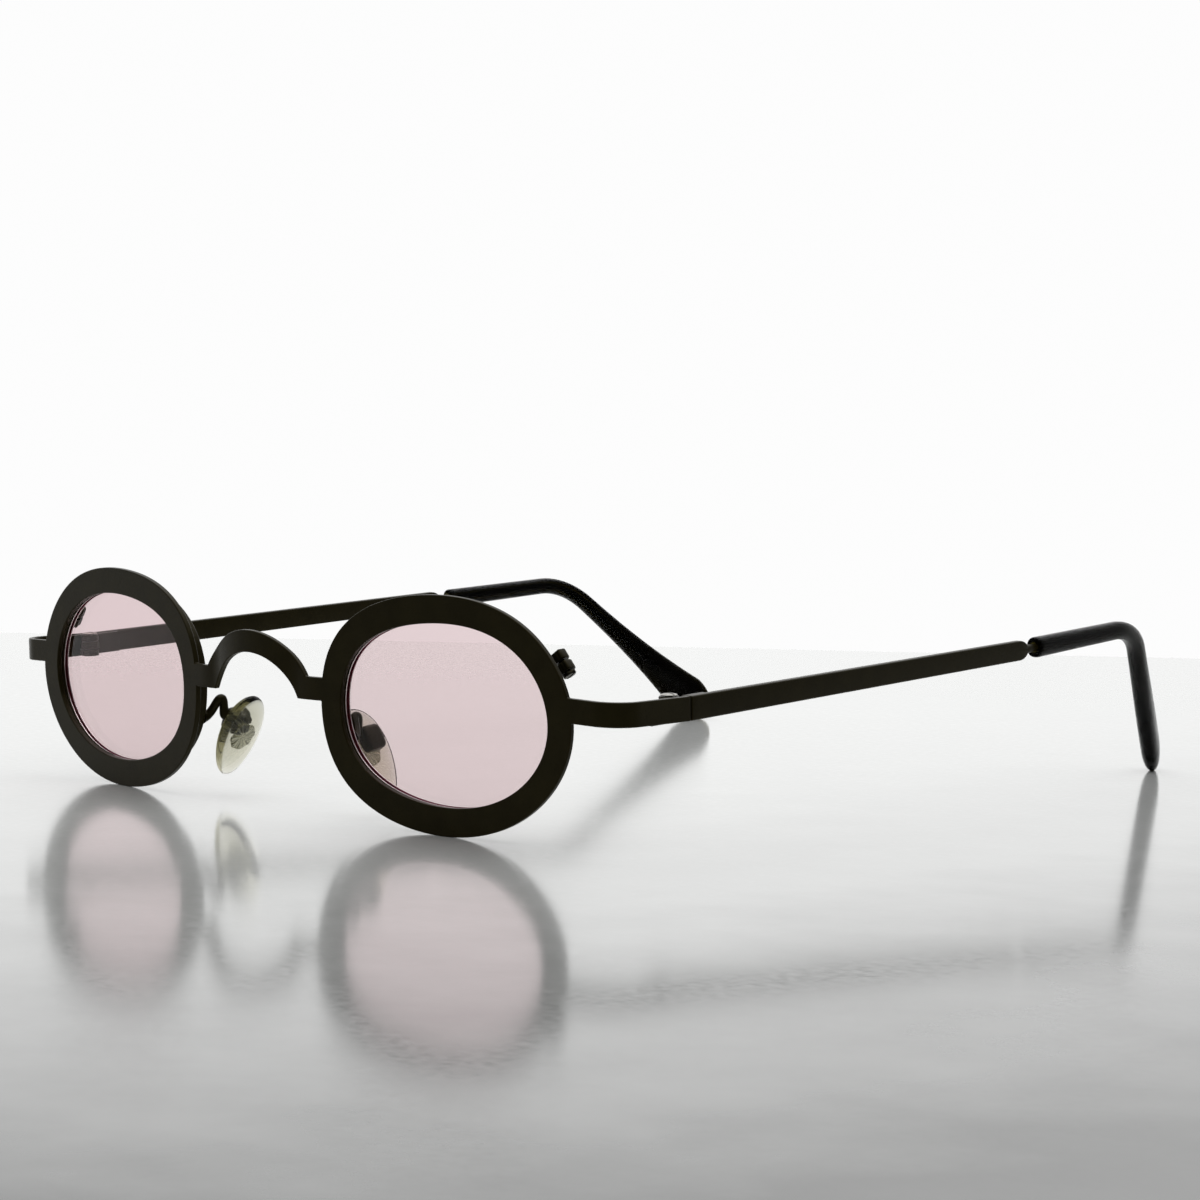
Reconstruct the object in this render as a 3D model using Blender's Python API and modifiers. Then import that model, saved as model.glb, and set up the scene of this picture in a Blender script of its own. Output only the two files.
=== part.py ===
"""Oval sunglasses with a folded sheet front, standing open on a table.

The front is drawn as a flat blank: two oval rings, an arched bridge and a strip at each
side. The blank is then folded, slightly at the bridge and square at the strips. A grooved
wire behind each ring holds the lens. Each temple is a flat bar that narrows to a round
core wire inside a plastic tip.

The glasses are modelled upright, as they are worn: X to the wearer's left, Y to the back,
Z up from the lowest point of the rings, Y = 0 at the front of the bridge. The left side is
modelled, and the right side is its mirror image. At the end the whole is tipped until the
rings and the tips stand on Z = 0. Sizes are in metres.
"""

import math

import bmesh
import bpy
import numpy as np
from mathutils import Matrix, Vector

# Front sheet
SHEET = 0.0008
SHEET_EDGE = 0.00012
BEND_COLUMNS = (5, 3, 2, 0, 8, 0)
RING_HALF_WIDTH = 0.0210
RING_HALF_HEIGHT = 0.01593
OVAL_LEAN = math.radians(-0.5)
RING_WAVES = ((3, 0.0071, 0.0063), (4, -0.0127, -0.0019), (5, 0.0056, -0.0019))
OPENING_WAVES = ((3, -0.0007, 0.0032), (4, -0.0127, -0.0019), (5, 0.0056, -0.0019))
BAND_SIDE = 0.00362
BAND_TOP = 0.00382
NOSE_HALF_GAP = 0.01249
RING_PLACE = NOSE_HALF_GAP + RING_HALF_WIDTH
OVAL_STEPS = 56

# Bridge
BRIDGE_TOP = 0.02515
BRIDGE_BAND = 0.00305
BRIDGE_OUTER_RADIUS = 0.0121
BRIDGE_INNER_RADIUS = 0.0093
LANDING_TOP = 0.01945
LANDING_BOTTOM = 0.01633

# Plan of the front: the bridge bows forwards, and the face wraps
BOW_LENGTH = 0.0070
BOW_ANGLE = math.radians(16)
BOW_RETURN = 0.0024
ROOT_BEND = 0.0025
FACE_WRAP = math.radians(6.8)

# Side strips
STRIP_HEIGHT = 0.0032
STRIP_CENTRE = 0.01785
STRIP_DROP = 0.0007
CORNER_RADIUS = 0.0047
STRIP_REACH = 0.00691
HALF_WIDTH = RING_PLACE + RING_HALF_WIDTH + STRIP_REACH
STRIP_END = 0.0209

# Fits
SOLDER_GAP = 0.0001
RUNNING_GAP = 0.0001

# Eyewires and closing blocks
WIRE_STEP = 0.0002
WIRE_WIDTH = 0.0016
WIRE_DEPTH = 0.0020
GROOVE_DEPTH = 0.0005
GROOVE_MOUTH = 0.0012
BLOCK_ANGLE = math.radians(30.7)
BLOCK_LENGTH = 0.0013
BLOCK_SPLIT = 0.0003
BLOCK_RADIUS = 0.00115
BLOCK_STEM = 0.0010
BLOCK_FROM_OPENING = 0.0023
BLOCK_SCREW_RADIUS = 0.0004
BLOCK_HEAD_RADIUS = 0.0009
BLOCK_HEAD_HEIGHT = 0.0005
HEAD_SHOULDER = 0.6
HEAD_TOP = 0.75

# Lenses
LENS_THICKNESS = 0.0015
LENS_CURVE = 0.500
LENS_PLAY = 0.0001
LENS_BEVEL = 0.0009
LENS_RINGS = 4

# Hinges
KNUCKLE_RADIUS = 0.0013
KNUCKLE_OFFSET = 0.0017
AXIS_BEFORE_SEAM = 0.0014
HINGE_SCREW_RADIUS = 0.0005
HINGE_HEAD_RADIUS = 0.0011
HINGE_HEAD_HEIGHT = 0.0003
HEAD_RIM = 0.3
LEAF = 0.0008
FRONT_LEAF_LENGTH = 0.0050
REAR_LEAF_LENGTH = 0.0040
MIDDLE_KNUCKLE = 0.0011
SEAM = 0.00025

# Temples
BAR_THICKNESS = 0.0012
BAR_HEIGHT_FRONT = STRIP_HEIGHT
BAR_HEIGHT_BACK = 0.00285
BAR_LENGTH = 0.0730
BAR_RISE = 0.00025
BAR_END_ROUND = 0.0020
CORE_RADIUS = 0.00062
CORE_OVERLAP = 0.0030
CORE_SHORT_OF_TIP = 0.0130

# Temple tips
NECK = 0.0021
TIP_STRAIGHT = 0.0294
TIP_RISE = 0.0004
TIP_BEND_RADIUS = 0.0125
TIP_DROP_BACK = 0.0241
TIP_DROP_DOWN = 0.0250
TIP_DROP_IN = 0.0121
TIP_TOE_IN = 0.0013
TIP_HEIGHT = 0.0030
TIP_WIDTH = 0.0026
TIP_BEND_HEIGHT = 0.0027
TIP_NARROWING = 0.0057
PADDLE_WIDTH = 0.0072
PADDLE_THICKNESS = 0.0030
PADDLE_END = 0.0055
PADDLE_SPREAD = 2.3
PADDLE_TWIST = math.radians(-24)
TIP_SECTION_POWER = 2.4
TIP_MOUTH = 0.0006
MOUTH_SHARE = 0.8
POINT_SHARE = 0.06
EDGE_SHARE = 0.35
BORE_PLAY = 0.00012

# Nose pads
PAD_CENTRE = (0.0140, 0.0097, 0.0084)
PAD_SPLAY = math.radians(30)
PAD_FLARE = math.radians(2)
PAD_LEAN = math.radians(3.4)
PAD_HALF_LENGTH = 0.0067
PAD_HALF_WIDTH = 0.0037
PAD_NOSE_SIDE = 0.0015
PAD_REAR_SIDE = 0.0005
PAD_BELOW_SCREW = 0.0017
PAD_TAPER = 0.20
PAD_FULLNESS = 0.8
PAD_STANDOFF = 0.0003
MOUNT_RADIUS = 0.0021
MOUNT_THICKNESS = 0.0005
MOUNT_RIBS = 8
MOUNT_BELOW_SCREW = 0.0013
MOUNT_SINK = 0.0012
RIB_DEPTH = 0.00012
TAB_LENGTH = 0.0012
TAB_WIDTH = 0.0013
BOX_LENGTH = 0.0035
BOX_WIDTH = 0.0032
BOX_DEPTH = 0.0018
BOX_BASE = 0.0003
AXIS_IN_BOX = 0.0006
BOX_ROOM = 0.0005
BOX_SIDE_ROOM = 0.0002
BOX_ROUND = 0.0007
PAD_SCREW_RADIUS = 0.0003
PAD_HEAD_RADIUS = 0.0006
PAD_HEAD_HEIGHT = 0.0003
ARM_RADIUS = 0.00055
ARM_FOOT_HEIGHT = 0.0105
ARM_FOOT_REACH = 0.0016
ARM_CROWN = (-0.0015, 0.0021, 0.0025)
ARM_CROWN_REACH = 0.0009
ARM_ABOVE_SCREW = 0.0011
ARM_END_REACH = 0.0008

MIRROR = Matrix.Scale(-1, 4, (1, 0, 0))
BLACK = (0.016, 0.014, 0.008)
STEEL = (0.32, 0.31, 0.29)


# Scene

def clear_scene():
    for obj in list(bpy.data.objects):
        bpy.data.objects.remove(obj, do_unlink=True)


def new_collection(name):
    collection = bpy.data.collections.new(name)
    bpy.context.scene.collection.children.link(collection)
    return collection


def material(name, colour, roughness, metallic=0.0, alpha=1.0):
    made = bpy.data.materials.new(name)
    made.use_nodes = True
    shader = made.node_tree.nodes["Principled BSDF"]
    shader.inputs["Base Color"].default_value = (*colour, 1)
    shader.inputs["Roughness"].default_value = roughness
    shader.inputs["Metallic"].default_value = metallic
    shader.inputs["Alpha"].default_value = alpha
    made.diffuse_color = (*colour, alpha)
    return made


def new_empty(name, matrix, parent=None):
    empty = bpy.data.objects.new(name, None)
    empty.empty_display_size = 0.005
    PARTS.objects.link(empty)
    empty.parent = parent
    empty.matrix_local = matrix
    return empty


# Mesh tools

def mesh_of(obj):
    """The evaluated mesh of an object, which is then removed."""
    bpy.context.view_layer.update()
    graph = bpy.context.evaluated_depsgraph_get()
    mesh = bpy.data.meshes.new_from_object(obj.evaluated_get(graph))
    mesh.transform(obj.matrix_world)
    data = obj.data
    bpy.data.objects.remove(obj)
    if isinstance(data, bpy.types.Curve):
        bpy.data.curves.remove(data)
    return weld(mesh)


def weld(mesh, distance=1e-6):
    work = bmesh.new()
    work.from_mesh(mesh)
    bmesh.ops.remove_doubles(work, verts=work.verts, dist=distance)
    bmesh.ops.recalc_face_normals(work, faces=work.faces)
    work.to_mesh(mesh)
    work.free()
    return mesh


def curve_object(name, loops, cyclic=True, dimensions="2D"):
    curve = bpy.data.curves.new(name, "CURVE")
    curve.dimensions = dimensions
    for loop in loops:
        spline = curve.splines.new("POLY")
        spline.points.add(len(loop) - 1)
        for point, place in zip(spline.points, loop):
            point.co = (*place, *([0.0] * (3 - len(place))), 1.0)
        spline.use_cyclic_u = cyclic
    obj = bpy.data.objects.new(name, curve)
    PARTS.objects.link(obj)
    return obj


def plate(name, loops, thickness, edge=0.0):
    """A flat plate in X and Y, centred on Z = 0: the first loop is its outline, the rest are holes."""
    obj = curve_object(name, loops)
    obj.data.fill_mode = "BOTH"
    obj.data.extrude = thickness / 2 - edge
    if edge:
        obj.data.bevel_depth = edge
        obj.data.bevel_resolution = 0
        obj.data.offset = -edge
    return mesh_of(obj)


def tube(name, points, radius, sides=3):
    """A round wire along the points, with flat ends."""
    obj = curve_object(name, [points], cyclic=False, dimensions="3D")
    obj.data.bevel_depth = radius
    obj.data.bevel_resolution = sides
    obj.data.use_fill_caps = True
    return mesh_of(obj)


def turned(profile, steps=24):
    """A solid turned about Z from a profile of (radius, height) points, both ends on the axis."""
    work = bmesh.new()
    points = [work.verts.new((radius, 0, height)) for radius, height in profile]
    edges = [work.edges.new(pair) for pair in zip(points, points[1:])]
    bmesh.ops.spin(
        work, geom=points + edges, cent=(0, 0, 0), axis=(0, 0, 1), angle=2 * math.pi, steps=steps
    )
    bmesh.ops.remove_doubles(work, verts=work.verts, dist=1e-6)
    bmesh.ops.recalc_face_normals(work, faces=work.faces)
    mesh = bpy.data.meshes.new("turned")
    work.to_mesh(mesh)
    work.free()
    return mesh


def loft(sections):
    """A closed skin over rings of points, with a flat cap on the first and the last ring."""
    work = bmesh.new()
    rings = [[work.verts.new(point) for point in section] for section in sections]
    for one, two in zip(rings, rings[1:]):
        for i in range(len(one)):
            j = (i + 1) % len(one)
            work.faces.new((one[i], one[j], two[j], two[i]))
    work.faces.new(rings[0][::-1])
    work.faces.new(rings[-1])
    bmesh.ops.recalc_face_normals(work, faces=work.faces)
    mesh = bpy.data.meshes.new("loft")
    work.to_mesh(mesh)
    work.free()
    return mesh


def block(size, centre):
    work = bmesh.new()
    bmesh.ops.create_cube(work, size=1.0)
    bmesh.ops.scale(work, vec=size, verts=work.verts)
    bmesh.ops.translate(work, vec=centre, verts=work.verts)
    mesh = bpy.data.meshes.new("block")
    work.to_mesh(mesh)
    work.free()
    return mesh


def cylinder(radius, length, matrix, steps=24):
    work = bmesh.new()
    bmesh.ops.create_cone(
        work, cap_ends=True, segments=steps, radius1=radius, radius2=radius, depth=length, matrix=matrix
    )
    mesh = bpy.data.meshes.new("cylinder")
    work.to_mesh(mesh)
    work.free()
    return mesh


def score(mesh, places, axis=0):
    """Cuts the mesh into columns at the given places along an axis, so that it can be bent there."""
    normal = Vector((0, 0, 0))
    normal[axis] = 1
    work = bmesh.new()
    work.from_mesh(mesh)
    for place in places:
        bmesh.ops.bisect_plane(
            work, geom=work.verts[:] + work.edges[:] + work.faces[:], dist=1e-7,
            plane_co=normal * place, plane_no=normal,
        )
    work.to_mesh(mesh)
    work.free()
    return mesh


def move_points(mesh, rule):
    """Sends every point of the mesh through a rule that maps arrays of x, y and z to new ones."""
    points = np.empty(len(mesh.vertices) * 3, dtype=np.float32)
    mesh.vertices.foreach_get("co", points)
    x, y, z = points.reshape(-1, 3).astype(float).T
    mesh.vertices.foreach_set("co", np.stack(rule(x, y, z), axis=1).astype(np.float32).ravel())
    mesh.update()
    return mesh


def combine(mesh, others, operation):
    """The mesh with each of the others joined to it or cut from it."""
    target = bpy.data.objects.new("target", mesh)
    PARTS.objects.link(target)
    for other in others:
        tool = bpy.data.objects.new("tool", weld(other))
        tool.hide_render = True
        tool.display_type = "WIRE"
        CUTTERS.objects.link(tool)
        modifier = target.modifiers.new(operation.title(), "BOOLEAN")
        modifier.operation = operation
        modifier.solver = "EXACT"
        modifier.object = tool
    tools = [modifier.object for modifier in target.modifiers]
    result = mesh_of(target)
    for tool in tools:
        bpy.data.objects.remove(tool)
    return result


def add_part(name, mesh, finish, parent, smooth=30):
    mesh.name = name
    mesh.materials.clear()
    mesh.materials.append(finish)
    mesh.shade_smooth()
    mesh.set_sharp_from_angle(angle=math.radians(smooth))
    obj = bpy.data.objects.new(name, mesh)
    PARTS.objects.link(obj)
    obj.parent = parent
    return obj


def add_mirrored(part, parent):
    """The right-hand copy of a left-hand piece, on the right-hand parent."""
    mesh = part.data.copy()
    mesh.transform(MIRROR)
    mesh.flip_normals()
    name = part.name.replace("left", "right")
    finish = part.data.materials[0].copy()
    finish.name = name
    return add_part(name, mesh, finish, parent)


# Ovals

def oval(half_width, half_height, angles, waves):
    """Points of a ring's oval: an ellipse that swells and shrinks by a few small waves round its
    outline, fuller above towards the nose and flatter below, and leans a little."""
    angles = np.asarray(angles, dtype=float)
    swell = 1 + sum(c * np.cos(n * angles) + s * np.sin(n * angles) for n, c, s in waves)
    x = half_width * np.cos(angles) * swell
    y = half_height * np.sin(angles) * swell
    c, s = math.cos(OVAL_LEAN), math.sin(OVAL_LEAN)
    return np.stack([x * c - y * s, x * s + y * c], axis=-1)


def outer_oval(angles):
    return oval(RING_HALF_WIDTH, RING_HALF_HEIGHT, angles, RING_WAVES)


def opening_oval(angles, share=1.0, grown=0.0):
    """Points of the opening's oval, or of one inside it at a share of its size, grown on every side."""
    half_width, half_height = RING_HALF_WIDTH - BAND_SIDE, RING_HALF_HEIGHT - BAND_TOP
    return oval(half_width * share + grown, half_height * share + grown, angles, OPENING_WAVES)


def angle_at_height(height, nasal=False):
    """The angle at which the ring's outer oval crosses this height above its middle, on either side."""
    turn = np.linspace(-1, 1, 401)
    turn = math.pi - turn if nasal else turn
    return float(np.interp(height, outer_oval(turn)[:, 1], turn))


def full_turn(steps=OVAL_STEPS):
    return np.arange(steps) * 2 * math.pi / steps


RING_MIDDLE = float(-outer_oval(full_turn(720))[:, 1].min())


# Fold of the front sheet

def arc_run(length, start, end):
    """Width and depth covered by a run that turns evenly from one angle to another."""
    if start == end:
        return length * math.cos(start), length * math.sin(start)
    turn = end - start
    return (
        length * (math.sin(end) - math.sin(start)) / turn,
        length * (math.cos(start) - math.cos(end)) / turn,
    )


def plan_runs():
    """The front face in plan, from the middle out: the length of each run and its two angles. The side
    is as long as it takes to reach the outer face, and the last run ends at the hinge's seam."""
    corner = CORNER_RADIUS * (math.pi / 2 - FACE_WRAP)
    runs = [
        (BOW_LENGTH, 0, BOW_ANGLE),
        (BOW_RETURN, BOW_ANGLE, 0),
        (ROOT_BEND, 0, FACE_WRAP),
        (corner, FACE_WRAP, math.pi / 2),
    ]
    side = (HALF_WIDTH - sum(arc_run(*run)[0] for run in runs)) / math.cos(FACE_WRAP)
    runs.insert(3, (side, FACE_WRAP, FACE_WRAP))
    last = STRIP_END - sum(arc_run(*run)[1] for run in runs)
    return [*runs, (last, math.pi / 2, math.pi / 2)]


RUNS = plan_runs()
RUN_ENDS = np.cumsum([run[0] for run in RUNS])
BLANK_END = float(RUN_ENDS[-1])


def fold(along, depth=0.0):
    """Where a place on the flat blank goes: from its distance along the front face, signed, and its
    depth behind that face, to x and y."""
    side, along = np.sign(along), np.abs(np.asarray(along, dtype=float))
    x, y, angle = np.zeros_like(along), np.zeros_like(along), np.zeros_like(along)
    start_x, start_y, start = 0.0, 0.0, 0.0
    for length, first, last in RUNS:
        here = along >= start
        travelled = np.clip(along - start, 0, length)
        bend = (last - first) / length
        turn = first + bend * travelled
        if bend:
            step_x = (np.sin(turn) - math.sin(first)) / bend
            step_y = (math.cos(first) - np.cos(turn)) / bend
        else:
            step_x, step_y = travelled * math.cos(first), travelled * math.sin(first)
        x = np.where(here, start_x + step_x, x)
        y = np.where(here, start_y + step_y, y)
        angle = np.where(here, turn, angle)
        run_x, run_y = arc_run(length, first, last)
        start_x, start_y, start = start_x + run_x, start_y + run_y, start + length
    return side * (x - depth * np.sin(angle)), y + depth * np.cos(angle)


def strip_centre(along):
    """Height of the side strip's middle line, which drops evenly from the ring to the hinge."""
    start = RING_PLACE + RING_HALF_WIDTH
    return STRIP_CENTRE - STRIP_DROP * np.clip((np.asarray(along) - start) / (BLANK_END - start), 0, 1)


def bridge_half():
    """The bridge's upper edge, from the middle to its landing on the ring, and its lower edge, back to
    the middle."""
    upper_centre = BRIDGE_TOP - BRIDGE_OUTER_RADIUS
    lower_centre = BRIDGE_TOP - BRIDGE_BAND - BRIDGE_INNER_RADIUS
    down = np.linspace(math.pi / 2, math.asin((LANDING_TOP - upper_centre) / BRIDGE_OUTER_RADIUS), 14)
    up = np.linspace(math.asin((LANDING_BOTTOM - lower_centre) / BRIDGE_INNER_RADIUS), math.pi / 2, 14)
    upper = np.stack([np.cos(down), np.sin(down)], axis=1) * BRIDGE_OUTER_RADIUS + (0, upper_centre)
    lower = np.stack([np.cos(up), np.sin(up)], axis=1) * BRIDGE_INNER_RADIUS + (0, lower_centre)
    return upper, lower


def blank_outline():
    """The outline of the whole flat blank, drawn for one half and mirrored."""
    upper, lower = bridge_half()
    landing = angle_at_height(LANDING_TOP - RING_MIDDLE, nasal=True)
    top = angle_at_height(STRIP_CENTRE + STRIP_HEIGHT / 2 - RING_MIDDLE)
    bottom = angle_at_height(STRIP_CENTRE - STRIP_HEIGHT / 2 - RING_MIDDLE)
    foot = angle_at_height(LANDING_BOTTOM - RING_MIDDLE, nasal=True) - 2 * math.pi
    place = np.array([RING_PLACE, RING_MIDDLE])
    over = outer_oval(np.linspace(landing, top, OVAL_STEPS // 2)) + place
    under = outer_oval(np.linspace(bottom, foot, OVAL_STEPS // 2)) + place
    strip_top = np.array([[BLANK_END, strip_centre(BLANK_END) + STRIP_HEIGHT / 2]])
    strip_bottom = np.array([[BLANK_END, strip_centre(BLANK_END) - STRIP_HEIGHT / 2]])
    half = np.concatenate([upper, over, strip_top, strip_bottom, under, lower])
    other = half[1:-1][::-1] * (-1, 1)
    return np.concatenate([half, other])


def front_frame():
    """The folded front: cut flat with its two openings, scored where it bends, then folded."""
    hole = opening_oval(full_turn()) + (RING_PLACE, RING_MIDDLE)
    openings = [hole, hole * (-1, 1)]
    flat = plate("blank", [blank_outline(), *openings], SHEET, SHEET_EDGE)
    starts = RUN_ENDS - [run[0] for run in RUNS]
    bends = np.concatenate([
        np.linspace(start, end, BEND_COLUMNS[i]) for i, (start, end) in enumerate(zip(starts, RUN_ENDS))
    ])
    score(flat, np.unique(np.round(np.concatenate([bends, -bends]), 7)))

    def rule(along, height, across):
        x, y = fold(along, SHEET / 2 - across)
        return x, y, height

    return weld(move_points(flat, rule))


# Eyewire, lens and closing block, in the ring's own frame: X to the temple, Y back, Z up

def ring_frame():
    x, y = fold(RING_PLACE)
    return Matrix.Translation((float(x), float(y), RING_MIDDLE)) @ Matrix.Rotation(FACE_WRAP, 4, "Z")


def oval_point(offset, angle):
    """A point of the opening's oval, grown by an offset along the normal, and that normal."""
    at = opening_oval(angle)
    near = opening_oval([angle - 1e-4, angle + 1e-4])
    tangent = (near[1] - near[0]) / np.linalg.norm(near[1] - near[0])
    normal = np.array([tangent[1], -tangent[0]])
    return at + offset * normal, normal


WIRE_MIDDLE = SHEET + SOLDER_GAP + WIRE_DEPTH / 2
WIRE_BACK = SHEET + SOLDER_GAP + WIRE_DEPTH


def eyewire():
    """A grooved wire round the opening, split where the closing block joins its ends."""
    centre_offset = WIRE_STEP + WIRE_WIDTH / 2
    at, _ = oval_point(centre_offset, BLOCK_ANGLE)
    split = (BLOCK_SPLIT / 2) / float(np.linalg.norm(at))
    angles = np.linspace(BLOCK_ANGLE + split, BLOCK_ANGLE - split + 2 * math.pi, OVAL_STEPS + 8)
    half, depth = WIRE_WIDTH / 2, WIRE_DEPTH / 2
    section = [
        (-half, -depth), (half, -depth), (half, depth), (-half, depth),
        (-half, GROOVE_MOUTH / 2), (-half + GROOVE_DEPTH, 0), (-half, -GROOVE_MOUTH / 2),
    ]
    rings = []
    for angle in angles:
        place, normal = oval_point(centre_offset, angle)
        rings.append([
            (place[0] + out * normal[0], WIRE_MIDDLE + back, place[1] + out * normal[1])
            for out, back in section
        ])
    return loft(rings)


def lens():
    """Turned like a lens with a bevelled edge, then brought to the oval of the wire's groove."""
    body = WIRE_STEP - LENS_PLAY
    edge = GROOVE_DEPTH - LENS_PLAY
    half = LENS_THICKNESS / 2
    shares = np.linspace(0, 1, LENS_RINGS)
    front = [(share, half) for share in shares]
    bevel = [(1, LENS_BEVEL / 2), (2, 0), (1, -LENS_BEVEL / 2)]
    back = [(share, -half) for share in shares[::-1]]
    mesh = turned(front + bevel + back, OVAL_STEPS)

    def sag(x, z):
        return (x**2 + z**2) / (2 * LENS_CURVE)

    middle = float(sag(*opening_oval(full_turn()).T).mean())

    def rule(x, y, height):
        radius = np.hypot(x, y)
        share = np.minimum(radius, 1)
        grown = body * share + (WIRE_STEP + edge - body) * np.maximum(radius - 1, 0)
        angle = np.arctan2(y, x)
        u, v = opening_oval(angle, share, grown).T
        return u, WIRE_MIDDLE - height + sag(u, v) - middle, v

    return weld(move_points(mesh, rule))


def block_frame():
    """Frame on the closing screw: X out from the ring, Y back, Z along the screw."""
    at, normal = oval_point(BLOCK_FROM_OPENING, BLOCK_ANGLE)
    out = Vector((normal[0], 0, normal[1]))
    back = Vector((0, 1, 0))
    along = out.cross(back)
    frame = Matrix((out, back, along)).transposed().to_4x4()
    frame.translation = Vector((at[0], WIRE_BACK + SOLDER_GAP + BLOCK_STEM, at[1]))
    return frame


def closing_blocks():
    """The upper and the lower lug behind the wire, with a hole for the screw, and the screw itself."""
    turn = np.linspace(0, math.pi, 13)
    nose = np.stack([np.cos(turn), np.sin(turn)], axis=1) * BLOCK_RADIUS
    outline = np.concatenate([nose, [(-BLOCK_RADIUS, -BLOCK_STEM), (BLOCK_RADIUS, -BLOCK_STEM)]])
    hole_turn = full_turn(16)
    bore = np.stack([np.cos(hole_turn), np.sin(hole_turn)], axis=1) * (BLOCK_SCREW_RADIUS + RUNNING_GAP)
    lugs = {}
    for name, sign in (("upper", 1), ("lower", -1)):
        mesh = plate(name, [outline, bore], BLOCK_LENGTH)
        mesh.transform(Matrix.Translation((0, 0, sign * (BLOCK_SPLIT + BLOCK_LENGTH) / 2)))
        mesh.transform(block_frame())
        lugs[name] = mesh
    end = BLOCK_SPLIT / 2 + BLOCK_LENGTH
    under = -end - RUNNING_GAP
    screw = turned([
        (0, end), (BLOCK_SCREW_RADIUS, end), (BLOCK_SCREW_RADIUS, under), (BLOCK_HEAD_RADIUS, under),
        (BLOCK_HEAD_RADIUS, under - BLOCK_HEAD_HEIGHT * HEAD_SHOULDER),
        (BLOCK_HEAD_RADIUS * HEAD_TOP, under - BLOCK_HEAD_HEIGHT), (0, under - BLOCK_HEAD_HEIGHT),
    ], 16)
    screw.transform(block_frame())
    return lugs, screw


# Hinge, in a frame on its axis: X to the outside, Y back, Z up

def hinge_frame():
    x = HALF_WIDTH - SHEET - KNUCKLE_OFFSET
    return Matrix.Translation((x, STRIP_END - AXIS_BEFORE_SEAM, float(strip_centre(BLANK_END))))


def knuckle_outline(leaf_out, reach, direction):
    """A round eye about the axis with an arm along the leaf; direction is -1 to the front, 1 to the back."""
    leaf_in = leaf_out - LEAF
    start = math.radians(50)
    end = 2 * math.pi - math.acos(leaf_in / KNUCKLE_RADIUS)
    turn = np.linspace(start, end, 20)
    eye = np.stack([KNUCKLE_RADIUS * np.cos(turn), KNUCKLE_RADIUS * np.sin(turn)], axis=1)
    arm = [(leaf_in, -reach), (leaf_out, -reach), (leaf_out, 0)]
    outline = np.concatenate([eye, arm]) * (1, -direction)
    return outline[::-1] if direction > 0 else outline


def hinge_bore():
    return cylinder(HINGE_SCREW_RADIUS + RUNNING_GAP, 3 * STRIP_HEIGHT, Matrix.Identity(4), 20)


def knuckle_heights():
    """Bottom and top of the lower, middle and upper knuckle, from the middle of the strip."""
    half, middle = STRIP_HEIGHT / 2, MIDDLE_KNUCKLE / 2
    return (-half, -middle - RUNNING_GAP), (-middle, middle), (middle + RUNNING_GAP, half)


def layer(outline, bottom, top):
    mesh = plate("layer", [outline], top - bottom)
    mesh.transform(Matrix.Translation((0, 0, (bottom + top) / 2)))
    return mesh


def front_hinge_leaf():
    """Two knuckles on a leaf that is soldered inside the strip."""
    lower, _, upper = knuckle_heights()
    leaf_out = KNUCKLE_OFFSET - SOLDER_GAP
    clear = math.sqrt(KNUCKLE_RADIUS**2 - (leaf_out - LEAF) ** 2) + 2 * RUNNING_GAP
    leaf = block(
        (LEAF, FRONT_LEAF_LENGTH - clear, STRIP_HEIGHT),
        (leaf_out - LEAF / 2, -(FRONT_LEAF_LENGTH + clear) / 2, 0),
    )
    outline = knuckle_outline(leaf_out, FRONT_LEAF_LENGTH / 2, -1)
    joined = combine(leaf, [layer(outline, *lower), layer(outline, *upper)], "UNION")
    return combine(joined, [hinge_bore()], "DIFFERENCE")


def rear_hinge_leaf():
    """One knuckle between the two others, on a leaf that is soldered inside the temple."""
    _, middle, _ = knuckle_heights()
    leaf_out = KNUCKLE_OFFSET + SHEET - BAR_THICKNESS - SOLDER_GAP
    start = AXIS_BEFORE_SEAM + 2 * SEAM
    leaf = block(
        (LEAF, REAR_LEAF_LENGTH, STRIP_HEIGHT - 2 * RUNNING_GAP),
        (leaf_out - LEAF / 2, start + REAR_LEAF_LENGTH / 2, 0),
    )
    outline = knuckle_outline(leaf_out, start + REAR_LEAF_LENGTH / 2, 1)
    joined = combine(leaf, [layer(outline, *middle)], "UNION")
    return combine(joined, [hinge_bore()], "DIFFERENCE")


def hinge_screw():
    top = STRIP_HEIGHT / 2 + RUNNING_GAP
    dome = [
        (HINGE_HEAD_RADIUS * math.cos(a), top + HINGE_HEAD_HEIGHT * (HEAD_RIM + (1 - HEAD_RIM) * math.sin(a)))
        for a in np.linspace(0, math.pi / 2, 5)
    ]
    shank = [(HINGE_HEAD_RADIUS, top), (HINGE_SCREW_RADIUS, top), (HINGE_SCREW_RADIUS, -STRIP_HEIGHT / 2)]
    return turned([(0, dome[-1][1]), *dome[::-1][1:], *shank, (0, -STRIP_HEIGHT / 2)], 20)


# Temple and its tip, in the hinge's frame

BAR_START = AXIS_BEFORE_SEAM + SEAM
BAR_END = BAR_START + BAR_LENGTH
BAR_MIDDLE = KNUCKLE_OFFSET + SHEET - BAR_THICKNESS / 2


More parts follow.
